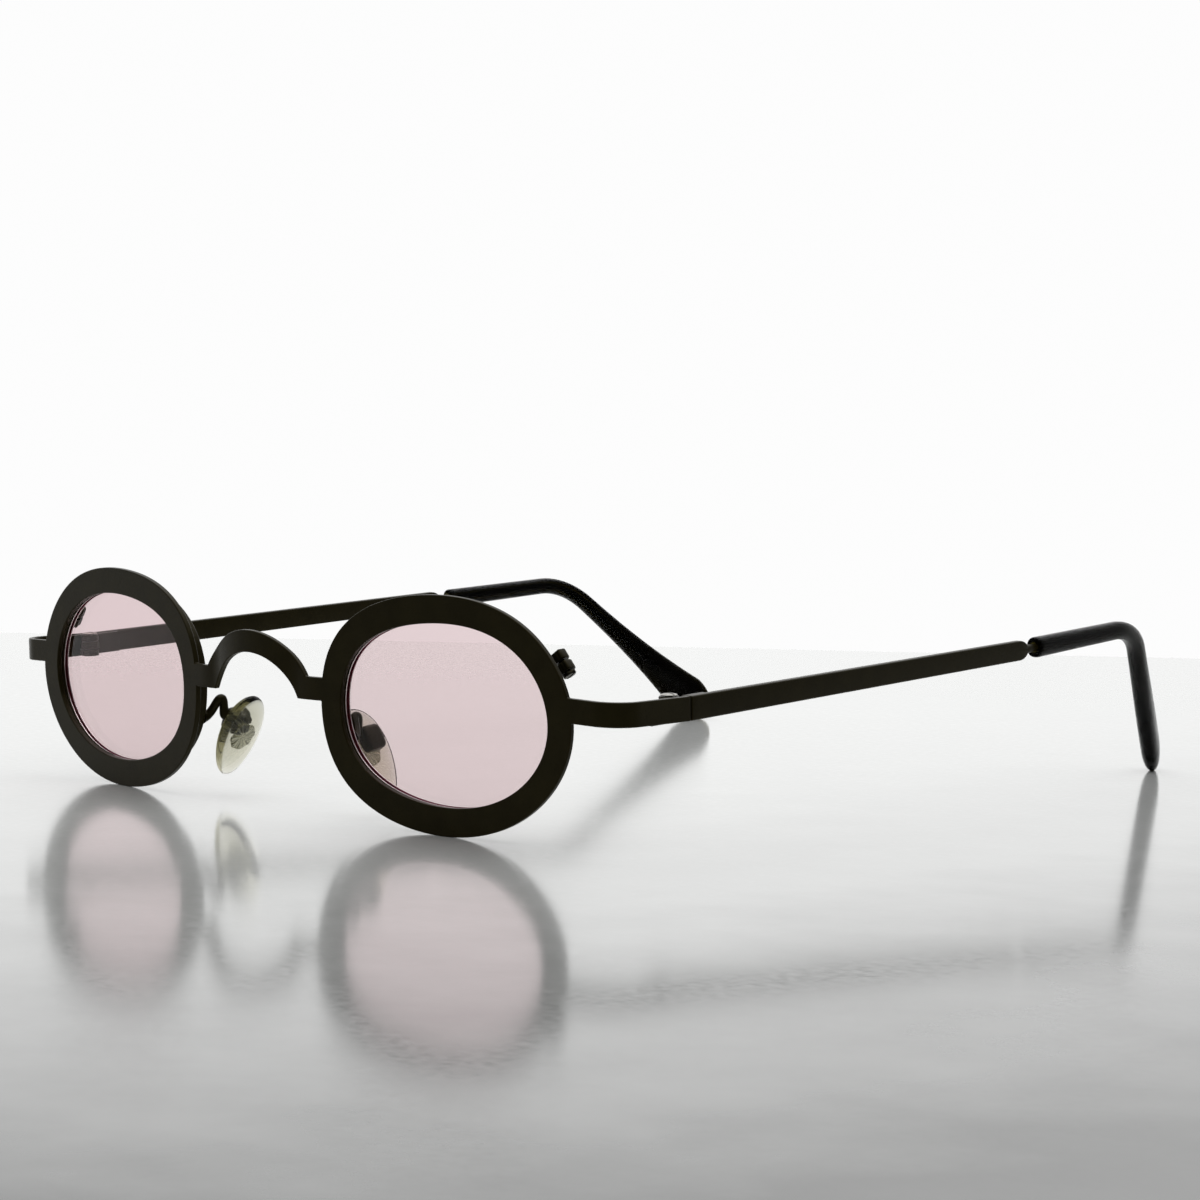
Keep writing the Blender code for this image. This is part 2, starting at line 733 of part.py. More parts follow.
def tip_path():
    """Middle line of the core wire and of the tip: straight back, round the bend, down and inwards.
    It returns the points and the distance of each from the end of the bar."""
    start = Vector((BAR_MIDDLE, BAR_END, BAR_RISE))
    corner = start + Vector((-TIP_TOE_IN, TIP_STRAIGHT, TIP_RISE))
    end = corner + Vector((-TIP_DROP_IN, TIP_DROP_BACK, -TIP_DROP_DOWN))
    one, two = (start - corner).normalized(), (end - corner).normalized()
    half = one.angle(two) / 2
    reach = TIP_BEND_RADIUS / math.tan(half)
    middle = corner + (one + two).normalized() * (TIP_BEND_RADIUS / math.sin(half))
    first, last = corner + one * reach, corner + two * reach
    from_middle, to_middle = first - middle, last - middle
    sweep = from_middle.angle(to_middle)
    axis = from_middle.cross(to_middle)
    bend = [middle + Matrix.Rotation(sweep * i / 8, 3, axis) @ from_middle for i in range(9)]
    points = [start, *bend, *[last.lerp(end, i / 8) for i in range(1, 9)]]
    lengths = [0.0]
    for a, b in zip(points, points[1:]):
        lengths.append(lengths[-1] + (b - a).length)
    return points, np.array(lengths)


def core_wire(radius, start, end):
    """The round wire from one distance along the tip's path to another."""
    points, lengths = tip_path()
    inside = [p for p, s in zip(points, lengths) if start < s < end]

    def at(distance):
        return Vector([np.interp(distance, lengths, [p[i] for p in points]) for i in range(3)])

    first = at(start) if start >= 0 else points[0] + Vector((0, start, 0))
    return tube("core", [first, *inside, at(end)], radius)


def bar():
    """The flat bar: a side outline with a rounded back end, cut to its thickness."""
    front, back = BAR_HEIGHT_FRONT / 2, BAR_HEIGHT_BACK / 2
    turn = np.linspace(0, math.pi / 2, 7)
    length = BAR_END - BAR_END_ROUND
    end_top = [(length + BAR_END_ROUND * math.sin(a), back * math.cos(a)) for a in turn]
    end_top[-1] = (BAR_END, CORE_RADIUS / 2)
    end = end_top + [(y, -z) for y, z in end_top[::-1]]
    outline = [(BAR_START, -front), (BAR_START, front), *[(y, z + BAR_RISE) for y, z in end]]
    mesh = plate("bar", [outline], BAR_THICKNESS)
    mesh.transform(Matrix(((0, 0, 1, BAR_MIDDLE), (1, 0, 0, 0), (0, 1, 0, 0), (0, 0, 0, 1))))
    return mesh


def temple():
    """Bar and core wire as one piece."""
    end = tip_path()[1][-1] - CORE_SHORT_OF_TIP
    return combine(bar(), [core_wire(CORE_RADIUS, -CORE_OVERLAP, end)], "UNION")


def paddle_share(distance, total):
    """How far the tip has gone from a round sleeve (0) to a flat paddle (1), at a distance along it."""
    return float(np.clip((distance - TIP_STRAIGHT) / (total - PADDLE_END - TIP_STRAIGHT), 0, 1))


def tip_section(distance, share):
    """Height and width of the tip at a distance along its path, before its rounded ends."""
    narrow = np.interp(distance, [0, TIP_STRAIGHT - TIP_NARROWING], [TIP_HEIGHT, TIP_BEND_HEIGHT])
    height = narrow + (PADDLE_WIDTH - TIP_BEND_HEIGHT) * share**PADDLE_SPREAD
    width = TIP_WIDTH + (PADDLE_THICKNESS - TIP_WIDTH) * share
    return height, width


def temple_tip():
    """A loft of squared ovals along the path, flattened to a paddle, with the core's bore cut in."""
    points, lengths = tip_path()
    total = lengths[-1]
    rounding = PADDLE_END * np.sin(np.linspace(0, math.pi / 2, 7))[1:]
    stations = sorted(
        {NECK, NECK + TIP_MOUTH / 3, NECK + TIP_MOUTH}
        | {float(s) for s in lengths if NECK + 2 * TIP_MOUTH < s < total - PADDLE_END}
        | {float(s) for s in total - PADDLE_END + rounding}
        | {float(total - PADDLE_END)}
    )
    sections = []
    for station in stations:
        centre = Vector([np.interp(station, lengths, [p[i] for p in points]) for i in range(3)])
        ahead = Vector([np.interp(station + 3e-4, lengths, [p[i] for p in points]) for i in range(3)])
        behind = Vector([np.interp(station - 3e-4, lengths, [p[i] for p in points]) for i in range(3)])
        tangent = (ahead - behind).normalized()
        across = Vector((1, 0, 0))
        across = (across - tangent * across.dot(tangent)).normalized()
        upward = across.cross(tangent)
        share = paddle_share(station, total)
        height, width = tip_section(station, share)
        twist = Matrix.Rotation(PADDLE_TWIST * share, 3, tangent)
        upward, across = twist @ upward, twist @ across
        shrink = min(1.0, MOUTH_SHARE + (1 - MOUTH_SHARE) * math.sqrt((station - NECK) / TIP_MOUTH))
        past = (station - (total - PADDLE_END)) / PADDLE_END
        if past > 0:
            shrink = max(POINT_SHARE, math.sqrt(max(0.0, 1 - past**2)))
        flat = max(shrink, EDGE_SHARE) if past > 0 else shrink
        ring = []
        for angle in full_turn(20):
            c, s = math.cos(angle), math.sin(angle)
            power = 2 / TIP_SECTION_POWER
            a = math.copysign(abs(c) ** power, c) * height / 2 * shrink
            b = math.copysign(abs(s) ** power, s) * width / 2 * flat
            ring.append(centre + upward * a + across * b)
        sections.append(ring)
    solid = loft(sections)
    bore = core_wire(CORE_RADIUS + BORE_PLAY, -CORE_OVERLAP, total - CORE_SHORT_OF_TIP + SOLDER_GAP)
    return combine(solid, [bore], "DIFFERENCE")


# Nose pad, in a frame on its cross screw: X away from the nose, Y back, Z up along the pad

SCREW_FROM_PAD = PAD_REAR_SIDE + PAD_STANDOFF + AXIS_IN_BOX
MOUNT_PLACE = PAD_REAR_SIDE - SCREW_FROM_PAD - MOUNT_SINK


def pad_frame():
    """Frame of the rocking axis, from the pad's middle and its three angles: the pads spread
    downwards, flare to the back, and lean back below."""
    level = math.cos(PAD_LEAN)
    down = Vector((math.sin(PAD_SPLAY) * level, math.sin(PAD_LEAN), -math.cos(PAD_SPLAY) * level))
    away = Vector((math.cos(PAD_SPLAY), 0, math.sin(PAD_SPLAY)))
    away.rotate(Matrix.Rotation(PAD_FLARE, 3, down))
    up = -down
    back = up.cross(away)
    frame = Matrix((away, back, up)).transposed().to_4x4()
    frame.translation = Vector(PAD_CENTRE) + away * SCREW_FROM_PAD + up * PAD_BELOW_SCREW
    return frame


def nose_pad():
    """A clear drop-shaped cushion: full above, narrower below, domed to the nose, with a seat behind."""
    work = bmesh.new()
    bmesh.ops.create_uvsphere(work, u_segments=28, v_segments=16, radius=1.0)
    mesh = bpy.data.meshes.new("pad")
    work.to_mesh(mesh)
    work.free()

    def rule(x, y, z):
        width = PAD_HALF_WIDTH * (1 + PAD_TAPER * z)
        thick = np.where(x < 0, PAD_NOSE_SIDE, PAD_REAR_SIDE)
        bulge = np.sign(x) * np.abs(x) ** PAD_FULLNESS * thick
        return bulge - SCREW_FROM_PAD, y * width, z * PAD_HALF_LENGTH - PAD_BELOW_SCREW

    move_points(mesh, rule)
    start = MOUNT_PLACE - MOUNT_THICKNESS / 2 - SOLDER_GAP
    middle = (start + PAD_NOSE_SIDE, 0, -MOUNT_BELOW_SCREW)
    matrix = Matrix.Translation(middle) @ Matrix.Rotation(math.pi / 2, 4, "Y")
    seat = cylinder(MOUNT_RADIUS + SOLDER_GAP, 2 * PAD_NOSE_SIDE, matrix, 24)
    return combine(mesh, [seat], "DIFFERENCE")


def pad_mount():
    """The moulded-in mount: a round plate with a ribbed rim and the tab that the screw goes through."""
    turn = full_turn(6 * MOUNT_RIBS)
    radius = MOUNT_RADIUS - RIB_DEPTH * (1 - np.cos(MOUNT_RIBS * turn))
    outline = np.stack([radius * np.cos(turn), radius * np.sin(turn)], axis=1)
    disc = plate("disc", [outline], MOUNT_THICKNESS)
    middle = (MOUNT_PLACE, 0, -MOUNT_BELOW_SCREW)
    disc.transform(Matrix.Translation(middle) @ Matrix.Rotation(math.pi / 2, 4, "Y"))
    end = BOX_DEPTH - BOX_BASE - AXIS_IN_BOX - BOX_SIDE_ROOM
    tab = block((end - MOUNT_PLACE, TAB_WIDTH, TAB_LENGTH), ((MOUNT_PLACE + end) / 2, 0, 0))
    hole = cylinder(PAD_SCREW_RADIUS + RUNNING_GAP, 3 * TAB_WIDTH, Matrix.Rotation(math.pi / 2, 4, "X"), 14)
    return combine(combine(disc, [tab], "UNION"), [hole], "DIFFERENCE")


def pad_box():
    """The small box round the tab, open to the pad, with a hole across it for the screw."""
    depth = BOX_DEPTH - BOX_BASE
    outside = block((BOX_DEPTH, BOX_WIDTH, BOX_LENGTH), (BOX_DEPTH / 2 - AXIS_IN_BOX, 0, 0))
    room = (2 * depth, TAB_WIDTH + 2 * BOX_SIDE_ROOM, TAB_LENGTH + 2 * BOX_ROOM)
    inside = block(room, (-AXIS_IN_BOX, 0, 0))
    hole = cylinder(PAD_SCREW_RADIUS + RUNNING_GAP, 3 * BOX_WIDTH, Matrix.Rotation(math.pi / 2, 4, "X"), 14)
    return combine(rounded(outside, BOX_ROUND), [inside, hole], "DIFFERENCE")


def rounded(mesh, width):
    obj = bpy.data.objects.new("rounded", mesh)
    PARTS.objects.link(obj)
    bevel = obj.modifiers.new("Bevel", "BEVEL")
    bevel.width = width
    bevel.segments = 2
    return mesh_of(obj)


def pad_screw():
    end = BOX_WIDTH / 2
    head = end + RUNNING_GAP
    mesh = turned([
        (0, head + PAD_HEAD_HEIGHT), (PAD_HEAD_RADIUS * HEAD_TOP, head + PAD_HEAD_HEIGHT),
        (PAD_HEAD_RADIUS, head + PAD_HEAD_HEIGHT * HEAD_SHOULDER), (PAD_HEAD_RADIUS, head),
        (PAD_SCREW_RADIUS, head), (PAD_SCREW_RADIUS, -end), (0, -end),
    ], 14)
    mesh.transform(Matrix.Rotation(-math.pi / 2, 4, "X"))
    return mesh


def pad_arm(ring, pad):
    """A bent wire from the back of the eyewire, up, over and down to the front of the pad box."""
    foot_angle = angle_at_height(ARM_FOOT_HEIGHT - RING_MIDDLE, nasal=True)
    foot, _ = oval_point(WIRE_STEP + WIRE_WIDTH / 2, foot_angle)
    start = ring @ Vector((foot[0], WIRE_BACK + SOLDER_GAP, foot[1]))
    back = (ring.to_3x3() @ Vector((0, 1, 0))).normalized()
    box_front = pad @ Vector((BOX_DEPTH / 2 - AXIS_IN_BOX, -BOX_WIDTH / 2 - SOLDER_GAP, ARM_ABOVE_SCREW))
    inward = (pad.to_3x3() @ Vector((0, 1, 0))).normalized()
    crown = start + Vector(ARM_CROWN)
    curve = bpy.data.curves.new("arm", "CURVE")
    curve.dimensions = "3D"
    curve.resolution_u = 8
    curve.bevel_depth = ARM_RADIUS
    curve.bevel_resolution = 2
    curve.use_fill_caps = True
    spline = curve.splines.new("BEZIER")
    spline.bezier_points.add(2)
    along = Vector((0, 1, 0))
    knots = (
        (start, back * ARM_FOOT_REACH, back * ARM_FOOT_REACH),
        (crown, along * ARM_CROWN_REACH, along * ARM_CROWN_REACH),
        (box_front, inward * ARM_END_REACH, inward * ARM_END_REACH),
    )
    for point, (place, before, after) in zip(spline.bezier_points, knots):
        point.co = place
        point.handle_left = place - before
        point.handle_right = place + after
    obj = bpy.data.objects.new("arm", curve)
    PARTS.objects.link(obj)
    return mesh_of(obj)


# Standing

def lowest(points, tilt):
    """The least height among points once they are tipped by an angle about X."""
    return (points[:, 1] * math.sin(tilt) + points[:, 2] * math.cos(tilt)).min()


def world_points(objects):
    graph = bpy.context.evaluated_depsgraph_get()
    clouds = []
    for obj in objects:
        mesh = obj.evaluated_get(graph).data
        points = np.empty(len(mesh.vertices) * 3, dtype=np.float32)
        mesh.vertices.foreach_get("co", points)
        matrix = np.array(obj.matrix_world)
        clouds.append(points.reshape(-1, 3) @ matrix[:3, :3].T + matrix[:3, 3])
    return np.concatenate(clouds)


def stand_up(root, front, tips):
    """Tips the whole about X until rings and tips stand on Z = 0, and centres it over its footprint."""
    bpy.context.view_layer.update()
    front_points, tip_points = world_points(front), world_points(tips)
    low, high = math.radians(-15), math.radians(15)
    for _ in range(50):
        middle = (low + high) / 2
        if lowest(tip_points, middle) < lowest(front_points, middle):
            low = middle
        else:
            high = middle
    root.matrix_local = Matrix.Rotation((low + high) / 2, 4, "X")
    bpy.context.view_layer.update()
    points = world_points([obj for obj in PARTS.objects if obj.type == "MESH"])
    centre = (points.min(axis=0) + points.max(axis=0)) / 2
    offset = Matrix.Translation((-centre[0], -centre[1], -points[:, 2].min()))
    root.matrix_local = offset @ root.matrix_local


# Assembly

def build():
    black = {"colour": BLACK, "roughness": 0.55}
    steel = {"colour": STEEL, "roughness": 0.35, "metallic": 1.0}
    ring, hinge, pad = ring_frame(), hinge_frame(), pad_frame()
    root = new_empty("sunglasses_stand", Matrix.Identity(4))
    frames = {}
    for side in ("left", "right"):
        for name, matrix in (("ring", ring), ("hinge", hinge), ("pad", pad), ("face", Matrix.Identity(4))):
            placed = matrix if side == "left" else MIRROR @ matrix @ MIRROR
            frames[name, side] = new_empty(f"{name}_frame_{side}", placed, root)
    for side in ("left", "right"):
        for name in ("hinge", "pad"):
            frames[f"{name}_axis", side] = new_empty(f"{name}_axis_{side}", Matrix.Identity(4), frames[name, side])

    front = add_part("front_frame", front_frame(), material("front_frame", **black), root)
    lugs, lug_screw = closing_blocks()
    lens_tint = {"colour": (0.80, 0.58, 0.60), "roughness": 0.05, "alpha": 0.5}
    clear = {"colour": (0.72, 0.70, 0.58), "roughness": 0.15, "alpha": 0.5}
    pieces = [
        ("eyewire_left", eyewire(), black, "ring"),
        ("lens_left", lens(), lens_tint, "ring"),
        ("closing_block_upper_left", lugs["upper"], black, "ring"),
        ("closing_block_lower_left", lugs["lower"], black, "ring"),
        ("closing_screw_left", lug_screw, black, "ring"),
        ("hinge_leaf_front_left", front_hinge_leaf(), black, "hinge"),
        ("hinge_screw_left", hinge_screw(), steel, "hinge"),
        ("hinge_leaf_temple_left", rear_hinge_leaf(), black, "hinge_axis"),
        ("temple_left", temple(), black, "hinge_axis"),
        ("temple_tip_left", temple_tip(), {"colour": BLACK, "roughness": 0.3}, "hinge_axis"),
        ("pad_arm_left", pad_arm(ring, pad), black, "face"),
        ("pad_box_left", pad_box(), black, "pad"),
        ("pad_screw_left", pad_screw(), steel, "pad"),
        ("pad_mount_left", pad_mount(), {"colour": (0.45, 0.44, 0.36), "roughness": 0.3}, "pad_axis"),
        ("nose_pad_left", nose_pad(), clear, "pad_axis"),
    ]
    tips = []
    for name, mesh, finish, frame in pieces:
        part = add_part(name, mesh, material(name, **finish), frames[frame, "left"])
        twin = add_mirrored(part, frames[frame, "right"])
        if name == "temple_tip_left":
            tips += [part, twin]
    stand_up(root, [front], tips)


clear_scene()
PARTS = new_collection("sunglasses")
CUTTERS = new_collection("cutters")
build()
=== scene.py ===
# %% [markdown]
# # Oval metal sunglasses
# The real thing is a flat metal front with two wide oval rings. A grooved wire behind each ring
# holds a pale rose lens, two nose pads sit on bent arms, and two temples fold on screwed hinges.
# The frame below is the measured solid model. Every later cell puts a finer surface in the place
# of one of its pieces, exactly where the solid one was, and gives it a finish.

# %% Load the measured frame
import math

import bpy
import numpy as np
from mathutils import Matrix, Vector


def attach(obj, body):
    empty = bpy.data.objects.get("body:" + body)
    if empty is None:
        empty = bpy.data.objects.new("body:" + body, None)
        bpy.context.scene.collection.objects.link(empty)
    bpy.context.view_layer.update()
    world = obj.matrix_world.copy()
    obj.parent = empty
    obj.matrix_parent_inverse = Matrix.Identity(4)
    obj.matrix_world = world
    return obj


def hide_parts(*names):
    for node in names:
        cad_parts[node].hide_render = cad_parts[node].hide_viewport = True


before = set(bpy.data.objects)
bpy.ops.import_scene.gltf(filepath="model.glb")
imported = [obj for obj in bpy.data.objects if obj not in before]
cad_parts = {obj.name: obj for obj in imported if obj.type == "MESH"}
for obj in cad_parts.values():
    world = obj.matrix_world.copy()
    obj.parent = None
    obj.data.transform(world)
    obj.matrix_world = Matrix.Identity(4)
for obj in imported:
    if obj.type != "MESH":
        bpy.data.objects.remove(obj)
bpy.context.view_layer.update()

# %% [markdown]
# ## The camera
# A photograph fixes nine numbers of its camera: three for its place, three for where it looks and
# how it leans, one for its lens and two for the middle of the picture. They were solved from the
# outlines of the rings and the temples. The camera stands low and to the left of the wearer.

# %% Camera
CAMERA_PLACE = Vector((0.320439, -0.347948, 0.056365))
AZIMUTH, ELEVATION, LEAN = math.radians(43.174), math.radians(3.478), math.radians(1.246)
SENSOR, NEAREST, FARTHEST = 36.0, 0.01, 20.0
FOCAL_PIXELS, IMAGE_PIXELS, IMAGE_MIDDLE = 3109.5, 1200, (594.7, 592.4)
SIDEWAYS = (math.cos(AZIMUTH), math.sin(AZIMUTH), 0.0)
AWAY = (-math.sin(AZIMUTH), math.cos(AZIMUTH), 0.0)

towards_camera = Vector((
    math.sin(AZIMUTH) * math.cos(ELEVATION),
    -math.cos(AZIMUTH) * math.cos(ELEVATION),
    math.sin(ELEVATION),
))
upright = towards_camera.cross(Vector(SIDEWAYS))
right = Vector(SIDEWAYS) * math.cos(LEAN) + upright * math.sin(LEAN)
turned = Matrix((right, towards_camera.cross(right), towards_camera)).transposed()
camera_data = bpy.data.cameras.new("photo_camera")
camera_data.sensor_width = SENSOR
camera_data.lens = FOCAL_PIXELS * SENSOR / IMAGE_PIXELS
camera_data.shift_x = (IMAGE_PIXELS / 2 - IMAGE_MIDDLE[0]) / IMAGE_PIXELS
camera_data.shift_y = (IMAGE_MIDDLE[1] - IMAGE_PIXELS / 2) / IMAGE_PIXELS
camera_data.clip_start = NEAREST
camera_data.clip_end = FARTHEST
camera = bpy.data.objects.new("photo_camera", camera_data)
camera.matrix_world = Matrix.LocRotScale(CAMERA_PLACE, turned.to_quaternion(), None)
bpy.context.scene.collection.objects.link(camera)
bpy.context.scene.camera = camera
print("lens", round(camera_data.lens, 1), "mm")

# %% [markdown]
# ## Graphs of nodes
# The light and all finishes are graphs. Each node does one small sum for every point in sight, and
# its inputs are numbers or the outputs of other nodes. With a helper for each kind of sum, a graph
# reads almost like a formula.

# %% Helpers for graphs
def add_node(graph, kind, inputs, **settings):
    """Add a node with these settings. Each input, by its name or number, takes a value or is linked
    to the output of another node."""
    node = graph.nodes.new(kind)
    for name, value in settings.items():
        setattr(node, name, value)
    for name, value in inputs.items():
        if isinstance(value, bpy.types.NodeSocket):
            graph.links.new(value, node.inputs[name])
        else:
            node.inputs[name].default_value = value
    return node


def add_math(graph, operation, *values):
    """Return the result of one operation on up to three values."""
    return add_node(graph, "ShaderNodeMath", dict(enumerate(values)), operation=operation).outputs["Value"]


def add_distance(graph, place, direction):
    """Return how far a place lies along a direction: their dot product."""
    node = add_node(graph, "ShaderNodeVectorMath", {0: place, 1: direction}, operation="DOT_PRODUCT")
    return node.outputs["Value"]


def add_range(graph, source, before, after, curve="LINEAR"):
    """Return source moved from one range of numbers to another, straight or along an S curve."""
    ends = {"From Min": before[0], "From Max": before[1], "To Min": after[0], "To Max": after[1]}
    node = add_node(graph, "ShaderNodeMapRange", {"Value": source, **ends}, interpolation_type=curve)
    return node.outputs["Result"]


# %% [markdown]
# ## The light
# The glasses stand against a bright, even wall, and the room on the camera's side is dim. That is
# why the black lacquer reads as black, while every edge that looks towards the wall has a pale
# line. A world that is bright on one side, dim on the other and soft above gives just that light.

# %% World
WALL_LIGHT, ROOM_LIGHT, OVERHEAD_LIGHT = 0.98, 0.16, 1.6
TOWARDS_WALL, TOWARDS_CEILING = (0.0, 0.8), (0.55, 0.95)
WHITE = (1.0, 1.0, 1.0, 1.0)

world = bpy.data.worlds.new("studio")
bpy.context.scene.world = world
world.use_nodes = True
sky = world.node_tree
sky.nodes.clear()
direction = add_node(sky, "ShaderNodeTexCoord", {}).outputs["Generated"]
height = add_node(sky, "ShaderNodeSeparateXYZ", {"Vector": direction}).outputs["Z"]
facing = add_distance(sky, direction, AWAY)
wall = add_range(sky, facing, TOWARDS_WALL, (ROOM_LIGHT, WALL_LIGHT), "SMOOTHSTEP")
overhead = add_range(sky, height, TOWARDS_CEILING, (0.0, OVERHEAD_LIGHT), "SMOOTHSTEP")
seen = add_node(sky, "ShaderNodeLightPath", {}).outputs["Is Camera Ray"]
lights = {"Factor": seen, "A": add_math(sky, "ADD", wall, overhead), "B": WALL_LIGHT}
strength = add_node(sky, "ShaderNodeMix", lights, data_type="FLOAT").outputs["Result"]
glow = add_node(sky, "ShaderNodeBackground", {"Color": WHITE, "Strength": strength})
add_node(sky, "ShaderNodeOutputWorld", {"Surface": glow.outputs["Background"]})
bpy.context.scene.view_settings.view_transform = "Standard"
print("wall", WALL_LIGHT, "room", ROOM_LIGHT, "overhead", OVERHEAD_LIGHT)

# %% [markdown]
# ## Finishes
# A finish is one shader whose colour, gloss and bump follow a fine noise. The noise reads object
# coordinates, so that its grain keeps its real size on every piece. Turned and drawn pieces read
# "local", the place of each point in the piece's own frame: their marks follow the lathe.

# %% Helpers for finishes
def new_finish(name):
    """A node material with a cleared graph: (material, graph, shader, output)."""
    finish = bpy.data.materials.new(name)
    finish.use_nodes = True
    graph = finish.node_tree
    graph.nodes.clear()
    shader = graph.nodes.new("ShaderNodeBsdfPrincipled")
    output = add_node(graph, "ShaderNodeOutputMaterial", {"Surface": shader.outputs["BSDF"]})
    return finish, graph, shader, output


def add_attribute(graph, name, output):
    """Return a value that every point of the mesh brings along under this name."""
    return add_node(graph, "ShaderNodeAttribute", {}, attribute_name=name).outputs[output]


def object_place(graph):
    """Return the place of every point in metres, on object coordinates."""
    return add_node(graph, "ShaderNodeTexCoord", {}).outputs["Object"]


def add_grain(graph, size, detail=3.0, stretch=(1, 1, 1), local=False):
    """Return a noise whose grains are about `size` metres across, on object coordinates or on the
    piece's own frame."""
    place = add_attribute(graph, "local", "Vector") if local else object_place(graph)
    scaled = add_node(graph, "ShaderNodeMapping", {"Vector": place, "Scale": [s / size for s in stretch]})
    inputs = {"Vector": scaled.outputs["Vector"], "Scale": 1.0, "Detail": detail}
    return add_node(graph, "ShaderNodeTexNoise", inputs).outputs["Fac"]


def vary(graph, source, stops, socket):
    """Feed a socket from a ramp that turns source (0 to 1) into the colours or numbers of stops."""
    ramp = add_node(graph, "ShaderNodeValToRGB", {"Fac": source})
    for place, value in stops[1:-1]:
        ramp.color_ramp.elements.new(place)
    for element, (place, value) in zip(ramp.color_ramp.elements, stops):
        element.position = place
        element.color = (*np.broadcast_to(value, 3), 1.0)
    graph.links.new(ramp.outputs["Color"], socket)


def add_bump(graph, source, shader, depth):
    """Feed a bump of `depth` metres from source into the shader's normal."""
    bump = add_node(graph, "ShaderNodeBump", {"Height": source, "Strength": 1.0, "Distance": depth})
    graph.links.new(bump.outputs["Normal"], shader.inputs["Normal"])


def add_dye(graph, output, tint, density):
    """Fill the piece with a dye, which drinks more light the longer its way through is."""
    dye = add_node(graph, "ShaderNodeVolumeAbsorption", {"Color": (*tint, 1.0), "Density": density})
    graph.links.new(dye.outputs["Volume"], output.inputs["Volume"])


# %% [markdown]
# ### Black lacquer
# The metal pieces are sprayed and baked. The coat is matt and nearly black, with a warm cast where
# it catches light and a powdery grain. The closing blocks are cut from a drawn barrel, whose fine
# lines show through the coat: there the noise is stretched twenty times along the barrel.

# %% Lacquers
LACQUER_SHEEN = 0.12


def lacquer(name, blacks, cloud, gloss, powder, tint, depth):
    """A coat whose black follows one grain, and whose gloss and bump follow another."""
    finish, graph, shader, output = new_finish(name)
    vary(graph, add_grain(graph, **cloud), blacks, shader.inputs["Base Color"])
    fine = add_grain(graph, **powder)
    vary(graph, fine, gloss, shader.inputs["Roughness"])
    shader.inputs["Specular IOR Level"].default_value = LACQUER_SHEEN
    shader.inputs["Specular Tint"].default_value = (*tint, 1.0)
    add_bump(graph, fine, shader, depth)
    return finish


LACQUER = lacquer(
    "black_lacquer",
    blacks=[(0.3, (0.0095, 0.0075, 0.0020)), (0.7, (0.0140, 0.0113, 0.0034))],
    cloud={"size": 0.0030, "detail": 2.0},
    gloss=[(0.3, 0.26), (0.7, 0.36)],
    powder={"size": 0.00012, "detail": 4.0},
    tint=(1.0, 0.90, 0.60),
    depth=0.000005,
)
drawn_lines = {"size": 0.00016, "stretch": (1, 1, 0.05), "local": True}
BARREL = lacquer(
    "striped_lacquer",
    blacks=[(0.35, (0.005, 0.0042, 0.0014)), (0.65, (0.022, 0.019, 0.009))],
    cloud=drawn_lines,
    gloss=[(0.3, 0.34), (0.7, 0.48)],
    powder=drawn_lines,
    tint=(1.0, 0.86, 0.50),
    depth=0.00003,
)
print("lacquers:", LACQUER.name, BARREL.name)

# %% [markdown]
# ### Rose lens
# A sunglass lens is dyed in its mass and polished. Its ground edge is matt and drinks the dye, so
# that it shows as a dark red line. The mesh marks that edge with the attribute "edge", and the
# shader blends between the two by it.

# %% Lens finish
LENS_DYE, LENS_DENSITY, LENS_BENDING = (0.58, 0.22, 0.26), 300.0, 1.36
HAZE_SIZE, HAZE = 0.0040, [(0.35, 0.0), (0.75, 0.006)]
EDGE_COLOURS = [(0.2, 1.0), (0.7, (0.16, 0.006, 0.022))]
EDGE_CLEAR, EDGE_MATT = [(0.2, 1.0), (0.7, 0.25)], 0.35


def rose_lens():
    """Clear with a dye in its depth; on the edge red, little clear and matt: edge * matt + haze."""
    finish, graph, shader, output = new_finish("rose_lens")
    edge = add_attribute(graph, "edge", "Fac")
    vary(graph, edge, EDGE_COLOURS, shader.inputs["Base Color"])
    vary(graph, edge, EDGE_CLEAR, shader.inputs["Transmission Weight"])
    shader.inputs["IOR"].default_value = LENS_BENDING
    rough = add_node(graph, "ShaderNodeMath", {0: edge, 1: EDGE_MATT}, operation="MULTIPLY_ADD")
    vary(graph, add_grain(graph, HAZE_SIZE), HAZE, rough.inputs[2])
    graph.links.new(rough.outputs["Value"], shader.inputs["Roughness"])
    add_dye(graph, output, LENS_DYE, LENS_DENSITY)
    return finish


LENS = rose_lens()
print("lens finish:", LENS.name)

# %% [markdown]
# ### Clear silicone and smoked plastic
# The pads are soft silicone, almost clear, and greenish where light has a long way through. The
# tips are smoked plastic: nearly black where they are thick, and brown along thin edges. One
# graph serves both, with more or less dye.

# %% Clear plastics
PEEL_DEPTH = 0.000004


def clear_plastic(name, tint, density, bending, gloss, grain_size):
    """A clear plastic with a dye in its depth, an uneven gloss and a faint orange peel."""
    finish, graph, shader, output = new_finish(name)
    shader.inputs["Base Color"].default_value = WHITE
    shader.inputs["Transmission Weight"].default_value = 1.0
    shader.inputs["IOR"].default_value = bending
    haze = add_grain(graph, grain_size)
    vary(graph, haze, gloss, shader.inputs["Roughness"])
    add_bump(graph, haze, shader, PEEL_DEPTH)
    add_dye(graph, output, tint, density)
    return finish


SILICONE = clear_plastic(
    "clear_silicone", tint=(0.56, 0.54, 0.36), density=460.0, bending=1.30,
    gloss=[(0.3, 0.03), (0.7, 0.10)], grain_size=0.0010,
)
SLEEVE = clear_plastic(
    "smoked_sleeve", tint=(0.50, 0.47, 0.20), density=6200.0, bending=1.18,
    gloss=[(0.3, 0.14), (0.7, 0.24)], grain_size=0.0008,
)
print("clear plastics:", SILICONE.name, SLEEVE.name)

